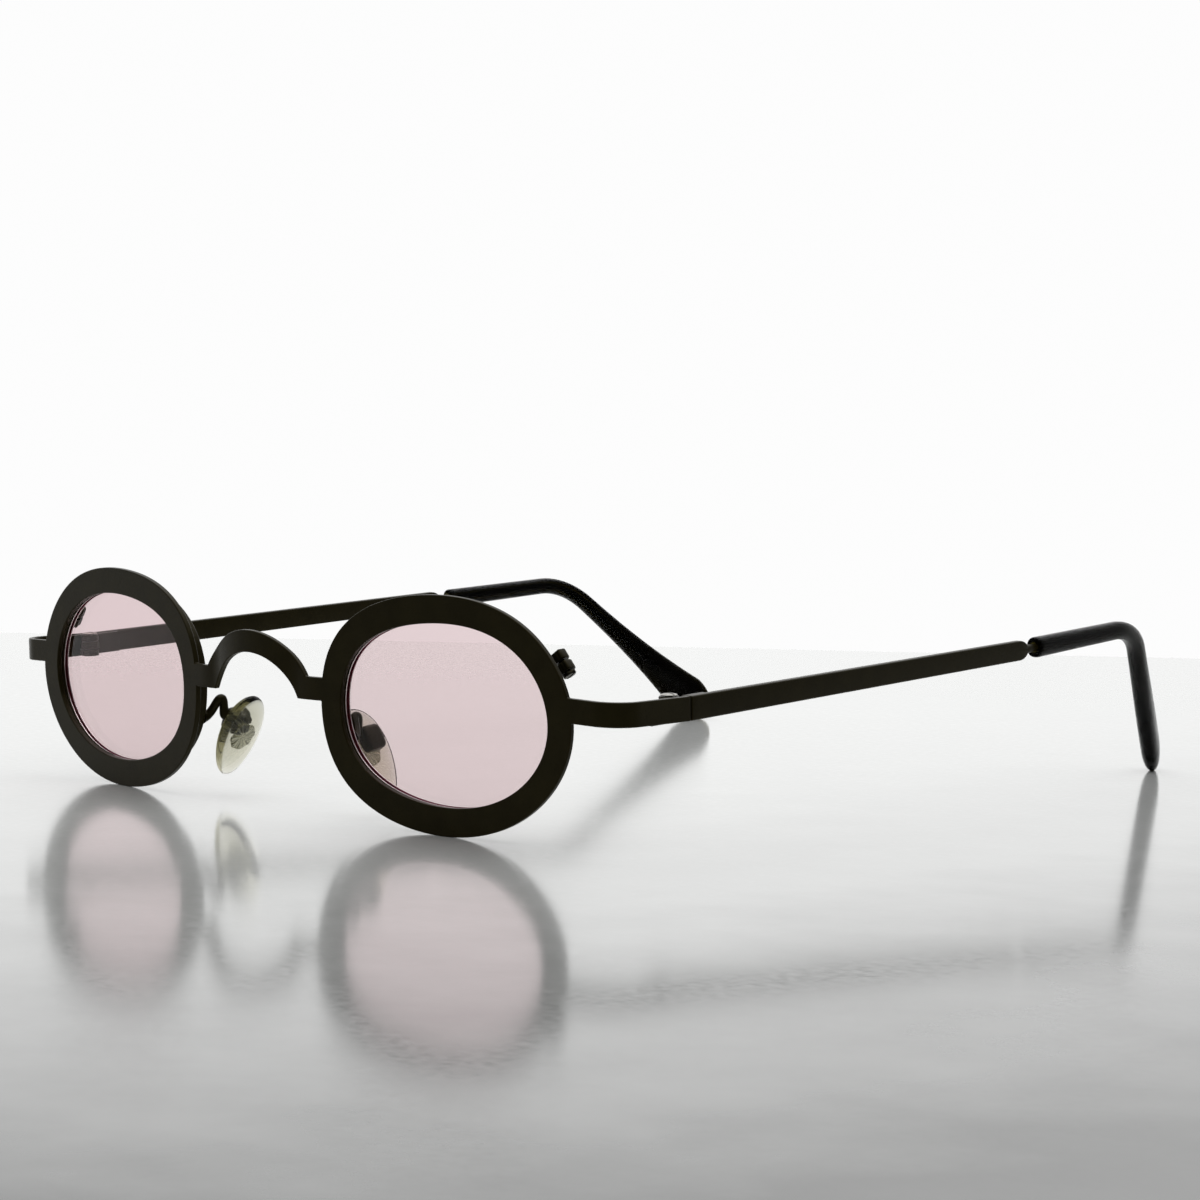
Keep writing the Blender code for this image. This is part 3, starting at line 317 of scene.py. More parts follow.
# %% [markdown]
# ### Moulded insert
# The ribbed disc inside a pad is milky plastic. Its ribs send light sideways and look lighter and
# darker in turn, so the sectors are drawn by an angle: that keeps them crisp at any size.

# %% Insert finish
MOUNT_BELOW_SCREW, INSERT_SECTORS, INSERT_BENDING = 0.0013, 16.0, 1.25
SECTOR_CLEAR = [(0.0, 0.92), (0.4, 0.62)]
FLOW_COLOURS, FLOW_GLOSS = [(0.3, (0.50, 0.50, 0.43)), (0.7, (0.70, 0.70, 0.62))], [(0.3, 0.12), (0.7, 0.24)]
FLOW_SIZE, FLOW_STRETCH, FLOW_DEPTH = 0.0006, (1, 1, 3), 0.000006


def insert_plastic():
    """Milky plastic with flow lines from the mould. How clear it is follows the sine of a whole
    number of times the angle about the disc's middle."""
    finish, graph, shader, output = new_finish("pad_insert")
    place = add_node(graph, "ShaderNodeSeparateXYZ", {"Vector": add_attribute(graph, "local", "Vector")})
    above_middle = add_math(graph, "ADD", place.outputs["Z"], MOUNT_BELOW_SCREW)
    angle = add_math(graph, "ARCTAN2", place.outputs["Y"], above_middle)
    sectors = add_math(graph, "SINE", add_math(graph, "MULTIPLY", angle, INSERT_SECTORS))
    vary(graph, sectors, SECTOR_CLEAR, shader.inputs["Transmission Weight"])
    flow = add_grain(graph, FLOW_SIZE, 4.0, FLOW_STRETCH, local=True)
    vary(graph, flow, FLOW_COLOURS, shader.inputs["Base Color"])
    vary(graph, flow, FLOW_GLOSS, shader.inputs["Roughness"])
    shader.inputs["IOR"].default_value = INSERT_BENDING
    add_bump(graph, flow, shader, FLOW_DEPTH)
    return finish


INSERT = insert_plastic()
print("insert finish:", INSERT.name)

# %% [markdown]
# ### Screw steel
# Screws are turned, so their gloss runs in fine rings about their axis. The hinge screws are
# bright, and the small ones at the closing blocks and the pads are blackened.

# %% Steels
LATHE_RINGS, LATHE_WOBBLE, LATHE_DEPTH = 2600.0, 1.5, 0.000003
STEEL_CLOUD, LATHE_GLOSS = 0.0004, [(0.2, 0.24), (0.8, 0.40)]


def screw_steel(name, dark, light):
    """Turned steel: its colour clouds between two greys, its gloss follows rings about Z."""
    finish, graph, shader, output = new_finish(name)
    place = add_attribute(graph, "local", "Vector")
    inputs = {"Vector": place, "Scale": LATHE_RINGS, "Distortion": LATHE_WOBBLE}
    wave = add_node(graph, "ShaderNodeTexWave", inputs, wave_type="RINGS", rings_direction="Z")
    rings = wave.outputs["Fac"]
    vary(graph, add_grain(graph, STEEL_CLOUD), [(0.3, dark), (0.7, light)], shader.inputs["Base Color"])
    shader.inputs["Metallic"].default_value = 1.0
    vary(graph, rings, LATHE_GLOSS, shader.inputs["Roughness"])
    add_bump(graph, rings, shader, LATHE_DEPTH)
    return finish


STEEL = screw_steel("screw_steel", (0.30, 0.29, 0.27), (0.48, 0.47, 0.44))
BLACKENED = screw_steel("blackened_steel", (0.014, 0.012, 0.006), (0.040, 0.036, 0.024))
print("steels:", STEEL.name, BLACKENED.name)

# %% [markdown]
# ## How a surface is made
# Every piece is a skin: rows of points that close on themselves, one row after the other, like the
# hoops of a barrel. The rows come from a formula, as one array. The formula works in the piece's
# own frame, and a placing function then brings it to where the measured piece stands.

# %% Skins
def skin(rows, loop=False):
    """Skin over rows of points, shape (rows, points, 3): point j of row i joins point j + 1 and the
    same two points of row i + 1, round and round. A fan closes the first and the last row, or the
    last row joins the first one in a loop."""
    count, around = rows.shape[:2]
    index = np.arange(count * around).reshape(count, around)
    after = np.roll(index, -1, axis=1)
    above, above_after = np.roll(index, -1, axis=0), np.roll(after, -1, axis=0)
    keep = count if loop else count - 1
    quads = np.stack([index, after, above_after, above], axis=-1)[:keep].reshape(-1, 4)
    points, fans = rows.reshape(-1, 3), np.empty((0, 3), dtype=int)
    if not loop:
        first, last = np.full(around, len(points)), np.full(around, len(points) + 1)
        points = np.concatenate([points, rows[[0, -1]].mean(axis=1)])
        fans = np.concatenate([
            np.stack([after[0], index[0], first], axis=-1),
            np.stack([index[-1], after[-1], last], axis=-1),
        ])
    return points, quads, fans


def turned_outward(points, quads, fans):
    """The faces in the order that makes the enclosed volume positive, so that normals look out."""
    threes = np.concatenate([quads[:, :3], quads[:, [0, 2, 3]], fans])
    a, b, c = (points[threes[:, i]] for i in range(3))
    volume = (a * np.cross(b, c)).sum()
    return (quads, fans) if volume > 0 else (quads[:, ::-1], fans[:, ::-1])


def new_object(name, points, faces, finish):
    """An object at the origin, smooth and in its finish."""
    mesh = bpy.data.meshes.new(name)
    mesh.from_pydata(points.tolist(), [], faces)
    mesh.shade_smooth()
    mesh.materials.append(finish)
    made = bpy.data.objects.new(name, mesh)
    bpy.context.scene.collection.objects.link(made)
    return made


def make_piece(name, skins, place, finish, body, nodes, sharp=40):
    """One object from skins in a local frame, on its body in the place of the measured nodes. The
    local frame is kept in the attribute "local" for the finish."""
    local, faces, start = [], [], 0
    for points, quads, fans in skins:
        quads, fans = turned_outward(place(points), quads, fans)
        faces += (quads + start).tolist() + (fans + start).tolist()
        local.append(points)
        start += len(points)
    local = np.concatenate(local)
    piece = new_object(name, place(local), faces, finish)
    own_frame = piece.data.attributes.new("local", "FLOAT_VECTOR", "POINT")
    own_frame.data.foreach_set("vector", local.astype(np.float32).ravel())
    piece.data.set_sharp_from_angle(angle=math.radians(sharp))
    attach(piece, body)
    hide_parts(*nodes)
    return piece


def make_pair(name, skins, place, finish=LACQUER, body="front", sharp=40):
    """The left piece and its mirror image, each in the place of the node of its own name. "{side}"
    in the body's name becomes the side. Most pieces are black metal on the front."""
    pair = [
        make_piece(
            f"{name}_{side}", skins, lambda points: stand(place(points) * (sign, 1, 1)), finish,
            body.format(side=side), [f"{name}_{side}"], sharp,
        )
        for side, sign in (("left", 1), ("right", -1))
    ]
    print(name, "x 2,", sum(len(points) for points, _, _ in skins), "points each")
    return pair


print("a skin over two rows of four points has", sum(map(len, skin(np.zeros((2, 4, 3)))[1:])), "faces")

# %% [markdown]
# ## Outlines, plates, turned pieces and wires
# Small metal pieces are punched from plate, turned on a lathe or bent from wire, and none has a
# truly sharp edge. There is one formula for each of the three ways, and each rounds the edges a
# little: that round shows as a fine bright line.

# %% Outlines and edges
SOFT_STEPS, EDGE_STEPS, ROUND_STEPS = 6, 4, 8
CORNER_LIMIT, NO_DIVIDE_BY_ZERO = 0.98, 1e-12


def quarter(steps=ROUND_STEPS):
    """Angles of a quarter turn, from 0 on."""
    return np.linspace(0, math.pi / 2, steps)


def full_turn(steps):
    """Angles of a full turn; the last one stops a step short of the first."""
    return np.arange(steps) * 2 * math.pi / steps


def level_rows(x, a, b):
    """Rows of points whose x is constant along each row."""
    return np.stack([np.broadcast_to(np.reshape(x, (-1, 1)), a.shape), a, b], axis=-1)


def round_corners(half_a, half_b, radius):
    """Rectangles with round corners, one row for each pair of half sizes: each corner is a quarter
    circle about a point that lies its radius inside both sides."""
    radius = np.minimum(radius, np.minimum(half_a, half_b) * CORNER_LIMIT)
    turn = ((np.arange(4)[:, None] + np.linspace(0, 1, SOFT_STEPS)) * math.pi / 2).ravel()
    sign_a, sign_b = np.repeat([1, -1, -1, 1], SOFT_STEPS), np.repeat([1, 1, -1, -1], SOFT_STEPS)
    a = sign_a * (half_a - radius)[:, None] + radius[:, None] * np.cos(turn)
    b = sign_b * (half_b - radius)[:, None] + radius[:, None] * np.sin(turn)
    return a, b


def normals_of(outline):
    """Outward normals of a closed outline: the step from the point before to the point after,
    turned by a quarter turn away from the middle."""
    step = np.roll(outline, -1, axis=0) - np.roll(outline, 1, axis=0)
    normal = np.stack([step[:, 1], -step[:, 0]], axis=1)
    normal /= np.linalg.norm(normal, axis=1)[:, None] + NO_DIVIDE_BY_ZERO
    x, y = outline.T
    area = (x * np.roll(y, -1) - y * np.roll(x, -1)).sum()
    return normal * np.sign(area)


def soften(corners, radius):
    """A polygon with round corners: each corner C becomes (1 - t)^2 A + 2 t (1 - t) C + t^2 B, where
    A and B lie a radius before and after it on its two sides."""
    corners = np.asarray(corners, dtype=float)
    before, after = np.roll(corners, 1, axis=0) - corners, np.roll(corners, -1, axis=0) - corners
    length_before, length_after = np.linalg.norm(before, axis=1), np.linalg.norm(after, axis=1)
    radius = np.minimum(radius, np.minimum(length_before, length_after) / 2 * CORNER_LIMIT)[:, None]
    a = (corners + before / length_before[:, None] * radius)[:, None]
    b = (corners + after / length_after[:, None] * radius)[:, None]
    t = np.linspace(0, 1, SOFT_STEPS)[None, :, None]
    return ((1 - t) ** 2 * a + 2 * t * (1 - t) * corners[:, None] + t**2 * b).reshape(-1, 2)


def box_outline(x_low, x_high, y_low, y_high, radius):
    """A rectangle with soft corners."""
    return soften([(x_low, y_low), (x_high, y_low), (x_high, y_high), (x_low, y_high)], radius)


print("a softened square has", len(box_outline(0, 1, 0, 1, 0.2)), "points")

# %% Plates, turned pieces and wires
WIRE_REFERENCE = (0.9, 0.1, 0.42)
SHANK_END = np.array([(0.5, 0), (0.9, 0.12), (1, 0.4)])
HEAD_ROUND, SEAT_ROUND, HEAD_SEAT, DOME_STEPS, DOME_MIDDLE = 0.35, 0.2, 0.98, 14, 0.02


def plate(outline, bottom, top, edge, bore=0.0):
    """A flat piece with round edges: the outline is repeated at rising heights, and near both faces
    it steps in along its normals by edge * (1 - cos) while it rises by edge * sin. With a bore, a
    circle of the same number of points goes back down through the middle."""
    turn = quarter(EDGE_STEPS)
    half = (top - bottom) / 2
    rise, inset = half - edge + edge * np.sin(turn), edge * (1 - np.cos(turn))
    heights, insets = np.concatenate([-rise[::-1], rise]), np.concatenate([inset[::-1], inset])
    flat = outline - insets[:, None, None] * normals_of(outline)
    if bore:
        circle = outline / np.linalg.norm(outline, axis=1)[:, None]
        radii = bore + insets[::-1] / 3
        flat = np.concatenate([flat, radii[:, None, None] * circle])
        heights = np.concatenate([heights, heights[::-1]])
    level = np.broadcast_to((heights + half + bottom)[:, None, None], (*flat.shape[:2], 1))
    return skin(np.concatenate([flat, level], axis=2), loop=bool(bore))


def screw_profile(size, low, under):
    """Radius and height of a screw from its tip to the middle of its head. The head's edge is a
    quarter circle, and a domed head goes on rising as the cosine of the way to its middle."""
    shank, head, height = size["shank"], size["head"], size["height"]
    edge = height * HEAD_ROUND
    turn, way = quarter(), np.linspace(1, DOME_MIDDLE, DOME_STEPS)[1:]
    rim = np.stack([head - edge + edge * np.cos(turn), under + height - edge + edge * np.sin(turn)], axis=1)
    dome = size["dome"] * np.cos(way * math.pi / 2)
    face = np.stack([(head - edge) * way, under + height + dome], axis=1)
    tip = SHANK_END * shank + (0, low)
    seat = [(shank, under), (head * HEAD_SEAT, under), (head, under + edge * SEAT_ROUND)]
    return np.concatenate([tip, seat, rim, face])


def screw(size, low, under, steps=96):
    """A turned screw: each (radius, height) of its profile goes once round Z. Its slot sinks the
    points above a height wherever they lie within half its width of the X axis."""
    radius, height = screw_profile(size, low, under).T
    turn = full_turn(steps)
    x, y = radius[:, None] * np.cos(turn), radius[:, None] * np.sin(turn)
    z = np.broadcast_to(height[:, None], x.shape)
    above = z - (under + size["slot_floor"])
    inside = np.clip((size["slot_width"] / 2 - np.abs(y)) / (size["slot_width"] / 6) + 0.5, 0, 1)
    sunk = np.where(above > 0, np.minimum(size["slot_depth"], above) * inside, 0)
    return skin(np.stack([x, y, z - sunk], axis=2))


def wire(path, radius, steps=20):
    """A round wire along a path of points: circles of the given radii stand across its tangent."""
    tangent = np.gradient(path, axis=0)
    tangent /= np.linalg.norm(tangent, axis=1)[:, None]
    across = np.cross(tangent, WIRE_REFERENCE)
    across /= np.linalg.norm(across, axis=1)[:, None]
    other = np.cross(tangent, across)
    turn = full_turn(steps)
    ring = np.cos(turn)[None, :, None] * across[:, None] + np.sin(turn)[None, :, None] * other[:, None]
    return skin(path[:, None] + np.broadcast_to(radius, len(path))[:, None, None] * ring)


print("a plate has", len(plate(box_outline(0, 1, 0, 1, 0.2), 0, 1, 0.1)[0]), "points")

# %% [markdown]
# ## The front, as a flat blank
# The real front is cut from one sheet, flat, and then folded: slightly at the bridge, and square at
# the two side strips. The surface is made in the same way. Its ovals are ellipses that swell and
# shrink by three small waves round their outline, which gives them the fuller upper corner.

# %% Sizes of the front
SHEET = 0.0008
RING_SIZE, OPENING_SIZE = (0.0210, 0.01593), (0.0210 - 0.00362, 0.01593 - 0.00382)
RING_WAVES = ((3, 0.0071, 0.0063), (4, -0.0127, -0.0019), (5, 0.0056, -0.0019))
OPENING_WAVES = ((3, -0.0007, 0.0032), (4, -0.0127, -0.0019), (5, 0.0056, -0.0019))
OVAL_LEAN, FINE_STEPS = math.radians(-0.5), 720
RING_PLACE = 0.01249 + RING_SIZE[0]
HALF_WIDTH = RING_PLACE + RING_SIZE[0] + 0.00691
BRIDGE_TOP, BRIDGE_BAND = 0.02515, 0.00305
BRIDGE_OUTER_RADIUS, BRIDGE_INNER_RADIUS = 0.0121, 0.0093
LANDING_TOP, LANDING_BOTTOM = 0.01945, 0.01633
BOW_ANGLE, BOW_RUNS = math.radians(16), (0.0070, 0.0024, 0.0025)
FACE_WRAP, CORNER_RADIUS = math.radians(6.8), 0.0047
STRIP_HEIGHT, STRIP_CENTRE, STRIP_DROP, STRIP_END = 0.0032, 0.01785, 0.0007, 0.0209
STAND_TILT = math.radians(3.24004)
STAND_SHIFT = np.array((0.0, -0.073469, -0.000253))


def stand(points):
    """From the upright frame, as worn, to the table: tipped about X and moved over the origin."""
    c, s = math.cos(STAND_TILT), math.sin(STAND_TILT)
    return points @ np.array([[1, 0, 0], [0, c, s], [0, -s, c]]) + STAND_SHIFT


def oval(angles, size, waves, share=1.0, grown=0.0):
    """Points of an oval: (a cos t, b sin t) times 1 + the sum of c cos nt + s sin nt, then leaned."""
    swell = 1 + sum(c * np.cos(n * angles) + s * np.sin(n * angles) for n, c, s in waves)
    x = (size[0] * share + grown) * np.cos(angles) * swell
    y = (size[1] * share + grown) * np.sin(angles) * swell
    c, s = math.cos(OVAL_LEAN), math.sin(OVAL_LEAN)
    return np.stack([x * c - y * s, x * s + y * c], axis=-1)


def ring_oval(angles):
    """The outer oval of a ring."""
    return oval(angles, RING_SIZE, RING_WAVES)


def opening(angles, share=1.0, grown=0.0):
    """The oval of the opening, or a share of it, or grown by a distance."""
    return oval(angles, OPENING_SIZE, OPENING_WAVES, share, grown)


RING_MIDDLE = -ring_oval(full_turn(FINE_STEPS))[:, 1].min()
print("a ring's middle lies", round(1000 * RING_MIDDLE, 2), "mm above its lowest point")

# %% [markdown]
# ## Folding
# In plan, a folded sheet is a line whose direction turns only where it is bent. So the angle of
# that line is drawn first, as straight ramps, and the place follows by summing small steps.

# %% The fold
CORNER_RUN = CORNER_RADIUS * (math.pi / 2 - FACE_WRAP)
PLAN_STEPS, NO_RUN = 6001, 1e-9


def plan(side, last):
    """The folded front in plan. Its angle grows along straight ramps from knot to knot, and summing
    the cosine and the sine of that angle gives x and y."""
    knots = np.cumsum([0, *BOW_RUNS, side, CORNER_RUN, last])
    along = np.linspace(0, knots[-1], PLAN_STEPS)
    angle = np.interp(along, knots, [0, BOW_ANGLE, 0, FACE_WRAP, FACE_WRAP, math.pi / 2, math.pi / 2])
    step = along[1] * np.stack([np.cos(angle), np.sin(angle)])
    middle = (step[:, 1:] + step[:, :-1]) / 2
    return along, np.concatenate([np.zeros((2, 1)), middle.cumsum(axis=1)], axis=1)


SIDE_RUN = (HALF_WIDTH - plan(0, NO_RUN)[1][0, -1]) / math.cos(FACE_WRAP)
LAST_RUN = STRIP_END - plan(SIDE_RUN, NO_RUN)[1][1, -1]
PLAN_ALONG, PLAN_PLACE = plan(SIDE_RUN, LAST_RUN)
BLANK_END = PLAN_ALONG[-1]


def fold(along):
    """Where a place on the flat blank goes: its x and y."""
    x, y = (np.interp(np.abs(along), PLAN_ALONG, part) for part in PLAN_PLACE)
    return np.sign(along) * x, y


print("blank", round(2000 * BLANK_END, 1), "mm long, side run", round(1000 * SIDE_RUN, 2))

# %% [markdown]
# ## Cutting the blank
# Three patches of quads make half of the face: the ring, from the opening out to its outer oval;
# the strip, from the ring's temple side to the hinge; and the bridge, from the middle to the ring's
# nose side. Neighbours share their border points, so the sheet is one skin. A thickness and a small
# round on every cut edge finish it: that round is what catches the thin pale line of light.

# %% Patches of the blank
BORDER, TOP_ARC, BOTTOM_ARC, RING_ROWS, STRIP_ROWS, ARCH_ROWS = 9, 97, 129, 7, 60, 40
CROSSING_STEPS = 801


def height_angle(height, nasal):
    """The angle at which the outer oval crosses a height, on its temple side or its nose side."""
    turn = np.linspace(-1, 1, CROSSING_STEPS)
    turn = math.pi - turn if nasal else turn
    return np.interp(height - RING_MIDDLE, ring_oval(turn)[:, 1], turn)


def blend(first, last, rows):
    """Rows that lead from one line of points to another in even steps: A (1 - t) + B t."""
    t = np.linspace(0, 1, rows)[:, None, None]
    return first * (1 - t) + last * t


def arch(radius, top, landing):
    """Points of a circle from its top down to the height of the landing."""
    middle = top - radius
    turn = np.linspace(math.pi / 2, math.asin((landing - middle) / radius), ARCH_ROWS)
    return np.stack([np.cos(turn), np.sin(turn)], axis=1) * radius + (0, middle)


def front_patches():
    """Ring, strip and bridge as grids of places on the flat blank, shape (rows, columns, 2)."""
    top = height_angle(STRIP_CENTRE + STRIP_HEIGHT / 2, False)
    bottom = height_angle(STRIP_CENTRE - STRIP_HEIGHT / 2, False)
    landing, foot = height_angle(LANDING_TOP, True), height_angle(LANDING_BOTTOM, True)
    turn = np.concatenate([
        np.linspace(bottom, top, BORDER)[:-1], np.linspace(top, landing, TOP_ARC)[:-1],
        np.linspace(landing, foot, BORDER)[:-1], np.linspace(foot, bottom + 2 * math.pi, BOTTOM_ARC),
    ])
    place = np.array((RING_PLACE, RING_MIDDLE))
    rim = ring_oval(turn) + place
    ring = blend(opening(turn) + place, rim, RING_ROWS)

    level = STRIP_CENTRE - STRIP_DROP + np.linspace(-0.5, 0.5, BORDER) * STRIP_HEIGHT
    end = np.stack([np.full(BORDER, BLANK_END), level], axis=1)
    strip = blend(rim[:BORDER], end, STRIP_ROWS)

    nose = BORDER - 1 + TOP_ARC - 1
    upper = arch(BRIDGE_OUTER_RADIUS, BRIDGE_TOP, LANDING_TOP)
    lower = arch(BRIDGE_INNER_RADIUS, BRIDGE_TOP - BRIDGE_BAND, LANDING_BOTTOM)
    over = blend(lower, upper, BORDER).swapaxes(0, 1)
    foot_patch = blend(over[-1], rim[nose:nose + BORDER][::-1], BORDER)[1:]
    return ring, strip, np.concatenate([over, foot_patch])


print("patches:", [patch.shape[:2] for patch in front_patches()])

# %% Front sheet
JOIN_WITHIN, CUT_EDGE, CUT_ANGLE = 0.000004, 0.00017, math.radians(50)


def patch_faces(shape, flip):
    """Quads of an open grid of points, in one order or the other."""
    index = np.arange(shape[0] * shape[1]).reshape(shape)
    quads = np.stack([index[:-1, :-1], index[1:, :-1], index[1:, 1:], index[:-1, 1:]], axis=-1)
    quads = quads.reshape(-1, 4)
    return quads[:, ::-1] if flip else quads


def front_sheet():
    """Both halves of the folded face as one open skin, then a thickness and round edges."""
    points, faces, start = [], [], 0
    for sign in (1, -1):
        for patch in front_patches():
            x, y = fold(patch[..., 0])
            points.append(np.stack([sign * x, y, patch[..., 1]], axis=-1).reshape(-1, 3))
            faces += (patch_faces(patch.shape[:2], sign < 0) + start).tolist()
            start += len(points[-1])
    sheet = new_object("front_sheet", stand(np.concatenate(points)), faces, LACQUER)
    join = sheet.modifiers.new("Join", "WELD")
    join.merge_threshold = JOIN_WITHIN
    thickness = sheet.modifiers.new("Thickness", "SOLIDIFY")
    thickness.thickness = SHEET
    thickness.offset = -1.0
    thickness.use_even_offset = True
    edges = sheet.modifiers.new("Round edges", "BEVEL")
    edges.width = CUT_EDGE
    edges.segments = 3
    edges.limit_method = "ANGLE"
    edges.angle_limit = CUT_ANGLE
    edges.harden_normals = True
    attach(sheet, "front")
    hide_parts("front_frame")
    return sheet


print("front sheet:", len(front_sheet().data.vertices), "points before its thickness")

# %% [markdown]
# ## Behind the ring
# A ring has its own frame: X to the temple, Y back, Z up, on the middle of the oval. The closing
# block has another one, with Z along its screw. To place a piece, its points go from frame to
# frame, and each step is one turn and one shift.

# %% Frames of the ring and the block
SOLDER_GAP, RUNNING_GAP = 0.0001, 0.0001
WIRE_STEP, WIRE_WIDTH, WIRE_DEPTH = 0.0002, 0.0016, 0.0020
WIRE_CENTRE, WIRE_BACK = WIRE_STEP + WIRE_WIDTH / 2, SHEET + SOLDER_GAP + WIRE_DEPTH
WIRE_MIDDLE = WIRE_BACK - WIRE_DEPTH / 2
BLOCK_ANGLE, BLOCK_SPLIT, BLOCK_FROM_OPENING = math.radians(30.7), 0.0003, 0.0023
BLOCK_LENGTH, BLOCK_RADIUS, BLOCK_STEM, BLOCK_BORE = 0.0013, 0.00115, 0.0010, 0.0005
LOOK = 1e-4


def framed(matrix):
    """A placing function that turns points by the matrix and moves them by its last column."""
    matrix = np.array(matrix)
    return lambda points: points @ matrix[:3, :3].T + matrix[:3, 3]


def chained(outer, inner):
    """A placing function that goes through two frames."""
    return lambda points: outer(inner(points))


def turned_matrix(x, y, z, place):
    """A frame with these axes at a place."""
    matrix = Matrix((x, y, z)).transposed().to_4x4()
    matrix.translation = place
    return matrix


def opening_place(offset, angles):
    """Points at an offset outside the opening's oval, and the normals there, in the ring's X and Z."""
    angles = np.atleast_1d(angles)
    step = opening(angles + LOOK) - opening(angles - LOOK)
    step /= np.linalg.norm(step, axis=1)[:, None]
    normal = np.stack([step[:, 1], -step[:, 0]], axis=1)
    return opening(angles) + offset * normal, normal


def block_matrix():
    """X away from the lens, Y back and Z along the screw."""
    (at,), (normal,) = opening_place(BLOCK_FROM_OPENING, BLOCK_ANGLE)
    out, back = Vector((normal[0], 0, normal[1])), Vector((0, 1, 0))
    place = Vector((at[0], WIRE_BACK + SOLDER_GAP + BLOCK_STEM, at[1]))
    return turned_matrix(out, back, out.cross(back), place)


ring_x, ring_y = fold(RING_PLACE)
ring_shift = Matrix.Translation((float(ring_x), float(ring_y), RING_MIDDLE))
in_ring = framed(ring_shift @ Matrix.Rotation(FACE_WRAP, 4, "Z"))
in_block = chained(in_ring, framed(block_matrix()))
print("ring at", np.round(1000 * in_ring(np.zeros(3)), 2))
print("block at", np.round(1000 * in_block(np.zeros(3)), 2))

# %% [markdown]
# ## The eyewire
# The wire that holds the lens is drawn with a groove and bent round the opening. Its section is
# carried along the oval, from one side of the closing block to the other.

# %% Eyewire
WIRE_EDGE, GROOVE_DEPTH, GROOVE_MOUTH, WIRE_ROWS = 0.00028, 0.0005, 0.0012, 241

split = BLOCK_SPLIT / 2 / float(np.linalg.norm(opening_place(WIRE_CENTRE, BLOCK_ANGLE)[0]))
round_ring = np.linspace(BLOCK_ANGLE + split, BLOCK_ANGLE - split + 2 * math.pi, WIRE_ROWS)


def eyewire_rows():
    """The grooved section at every angle: its middle plus out times the oval's normal, and back
    along Y. Its four outer corners are round, and the groove stays crisp."""
    half, depth, mouth = WIRE_WIDTH / 2, WIRE_DEPTH / 2, GROOVE_MOUTH / 2
    outer = box_outline(-half, half, -depth, depth, WIRE_EDGE)
    section = np.concatenate([outer, [(-half, mouth), (-half + GROOVE_DEPTH, 0), (-half, -mouth)]])
    place, normal = opening_place(WIRE_CENTRE, round_ring)
    flat = place[:, None] + section[None, :, :1] * normal[:, None]
    back = np.broadcast_to(WIRE_MIDDLE + section[:, 1], flat.shape[:2])
    return np.stack([flat[..., 0], back, flat[..., 1]], axis=-1)


make_pair("eyewire", [skin(eyewire_rows())], in_ring, sharp=30)

# %% [markdown]
# ## The lens
# A lens blank is ground as a shallow bowl and its edge is bevelled to a ridge that sits in the
# wire's groove. Circles of growing size, brought to the shape of the oval, make its front; they
# cross the ridge and shrink again over its back. The bowl is added last, as a height that grows
# with the square of the distance from the middle.

# %% Lens
LENS_THICKNESS, LENS_CURVE, LENS_PLAY, LENS_BEVEL = 0.0015, 0.500, 0.0001, 0.0009
LENS_ROWS, LENS_STEPS, SEAT_STEPS, LENS_HUB = 23, 240, 56, (0.01, 0.06)
RIDGE = (1, 1.5, 2, 1.5, 1)


def lens_rows():
    """Rows of constant share of the oval: front from the middle out, ridge, back to the middle. The
    bowl adds r^2 / (2 * curve)."""
    half, shoulder = LENS_THICKNESS / 2, LENS_BEVEL / 2
    shares = np.concatenate([LENS_HUB[:1], np.linspace(LENS_HUB[1], 1, LENS_ROWS - 1)])
    share = np.concatenate([shares, RIDGE, shares[::-1]])
    ridge = np.linspace(shoulder, -shoulder, len(RIDGE))
    height = np.concatenate([np.full(LENS_ROWS, half), ridge, np.full(LENS_ROWS, -half)])
    body, edge = WIRE_STEP - LENS_PLAY, WIRE_STEP + GROOVE_DEPTH - LENS_PLAY
    inner = np.minimum(share, 1)[:, None]
    grown = body * inner + (edge - body) * np.maximum(share - 1, 0)[:, None]
    flat = opening(full_turn(LENS_STEPS)[None, :], inner, grown)
    bowl = (flat**2).sum(axis=2) / (2 * LENS_CURVE)
    seat = (opening(full_turn(SEAT_STEPS)) ** 2).sum(axis=1).mean() / (2 * LENS_CURVE)
    depth = WIRE_MIDDLE - height[:, None] + bowl - seat
    return np.stack([flat[..., 0], depth, flat[..., 1]], axis=-1)


face_points = LENS_ROWS * LENS_STEPS
on_edge = np.repeat([0.0, 1.0, 0.0], [face_points, len(RIDGE) * LENS_STEPS, face_points + 2])
for piece in make_pair("lens", [skin(lens_rows())], in_ring, LENS, sharp=30):
    piece.data.attributes.new("edge", "FLOAT", "POINT").data.foreach_set("value", on_edge)

# %% [markdown]
# ## The closing block
# Two lugs are cut from one drawn barrel and soldered across the gap in the wire. A screw goes
# through both from below, and tightening it closes the wire on the lens.

# %% Closing blocks and their screws
LUG_EDGE, LUG_FOOT, LUG_NOSE_STEPS = 0.00018, 0.0003, 25
CLOSING_SCREW = {
    "shank": 0.0004, "head": 0.0009, "height": 0.0005, "dome": 0.00004, "slot_width": 0.00026,
    "slot_depth": 0.00022, "slot_floor": 0.0002,
}
SCREW_SHORT = 0.00002

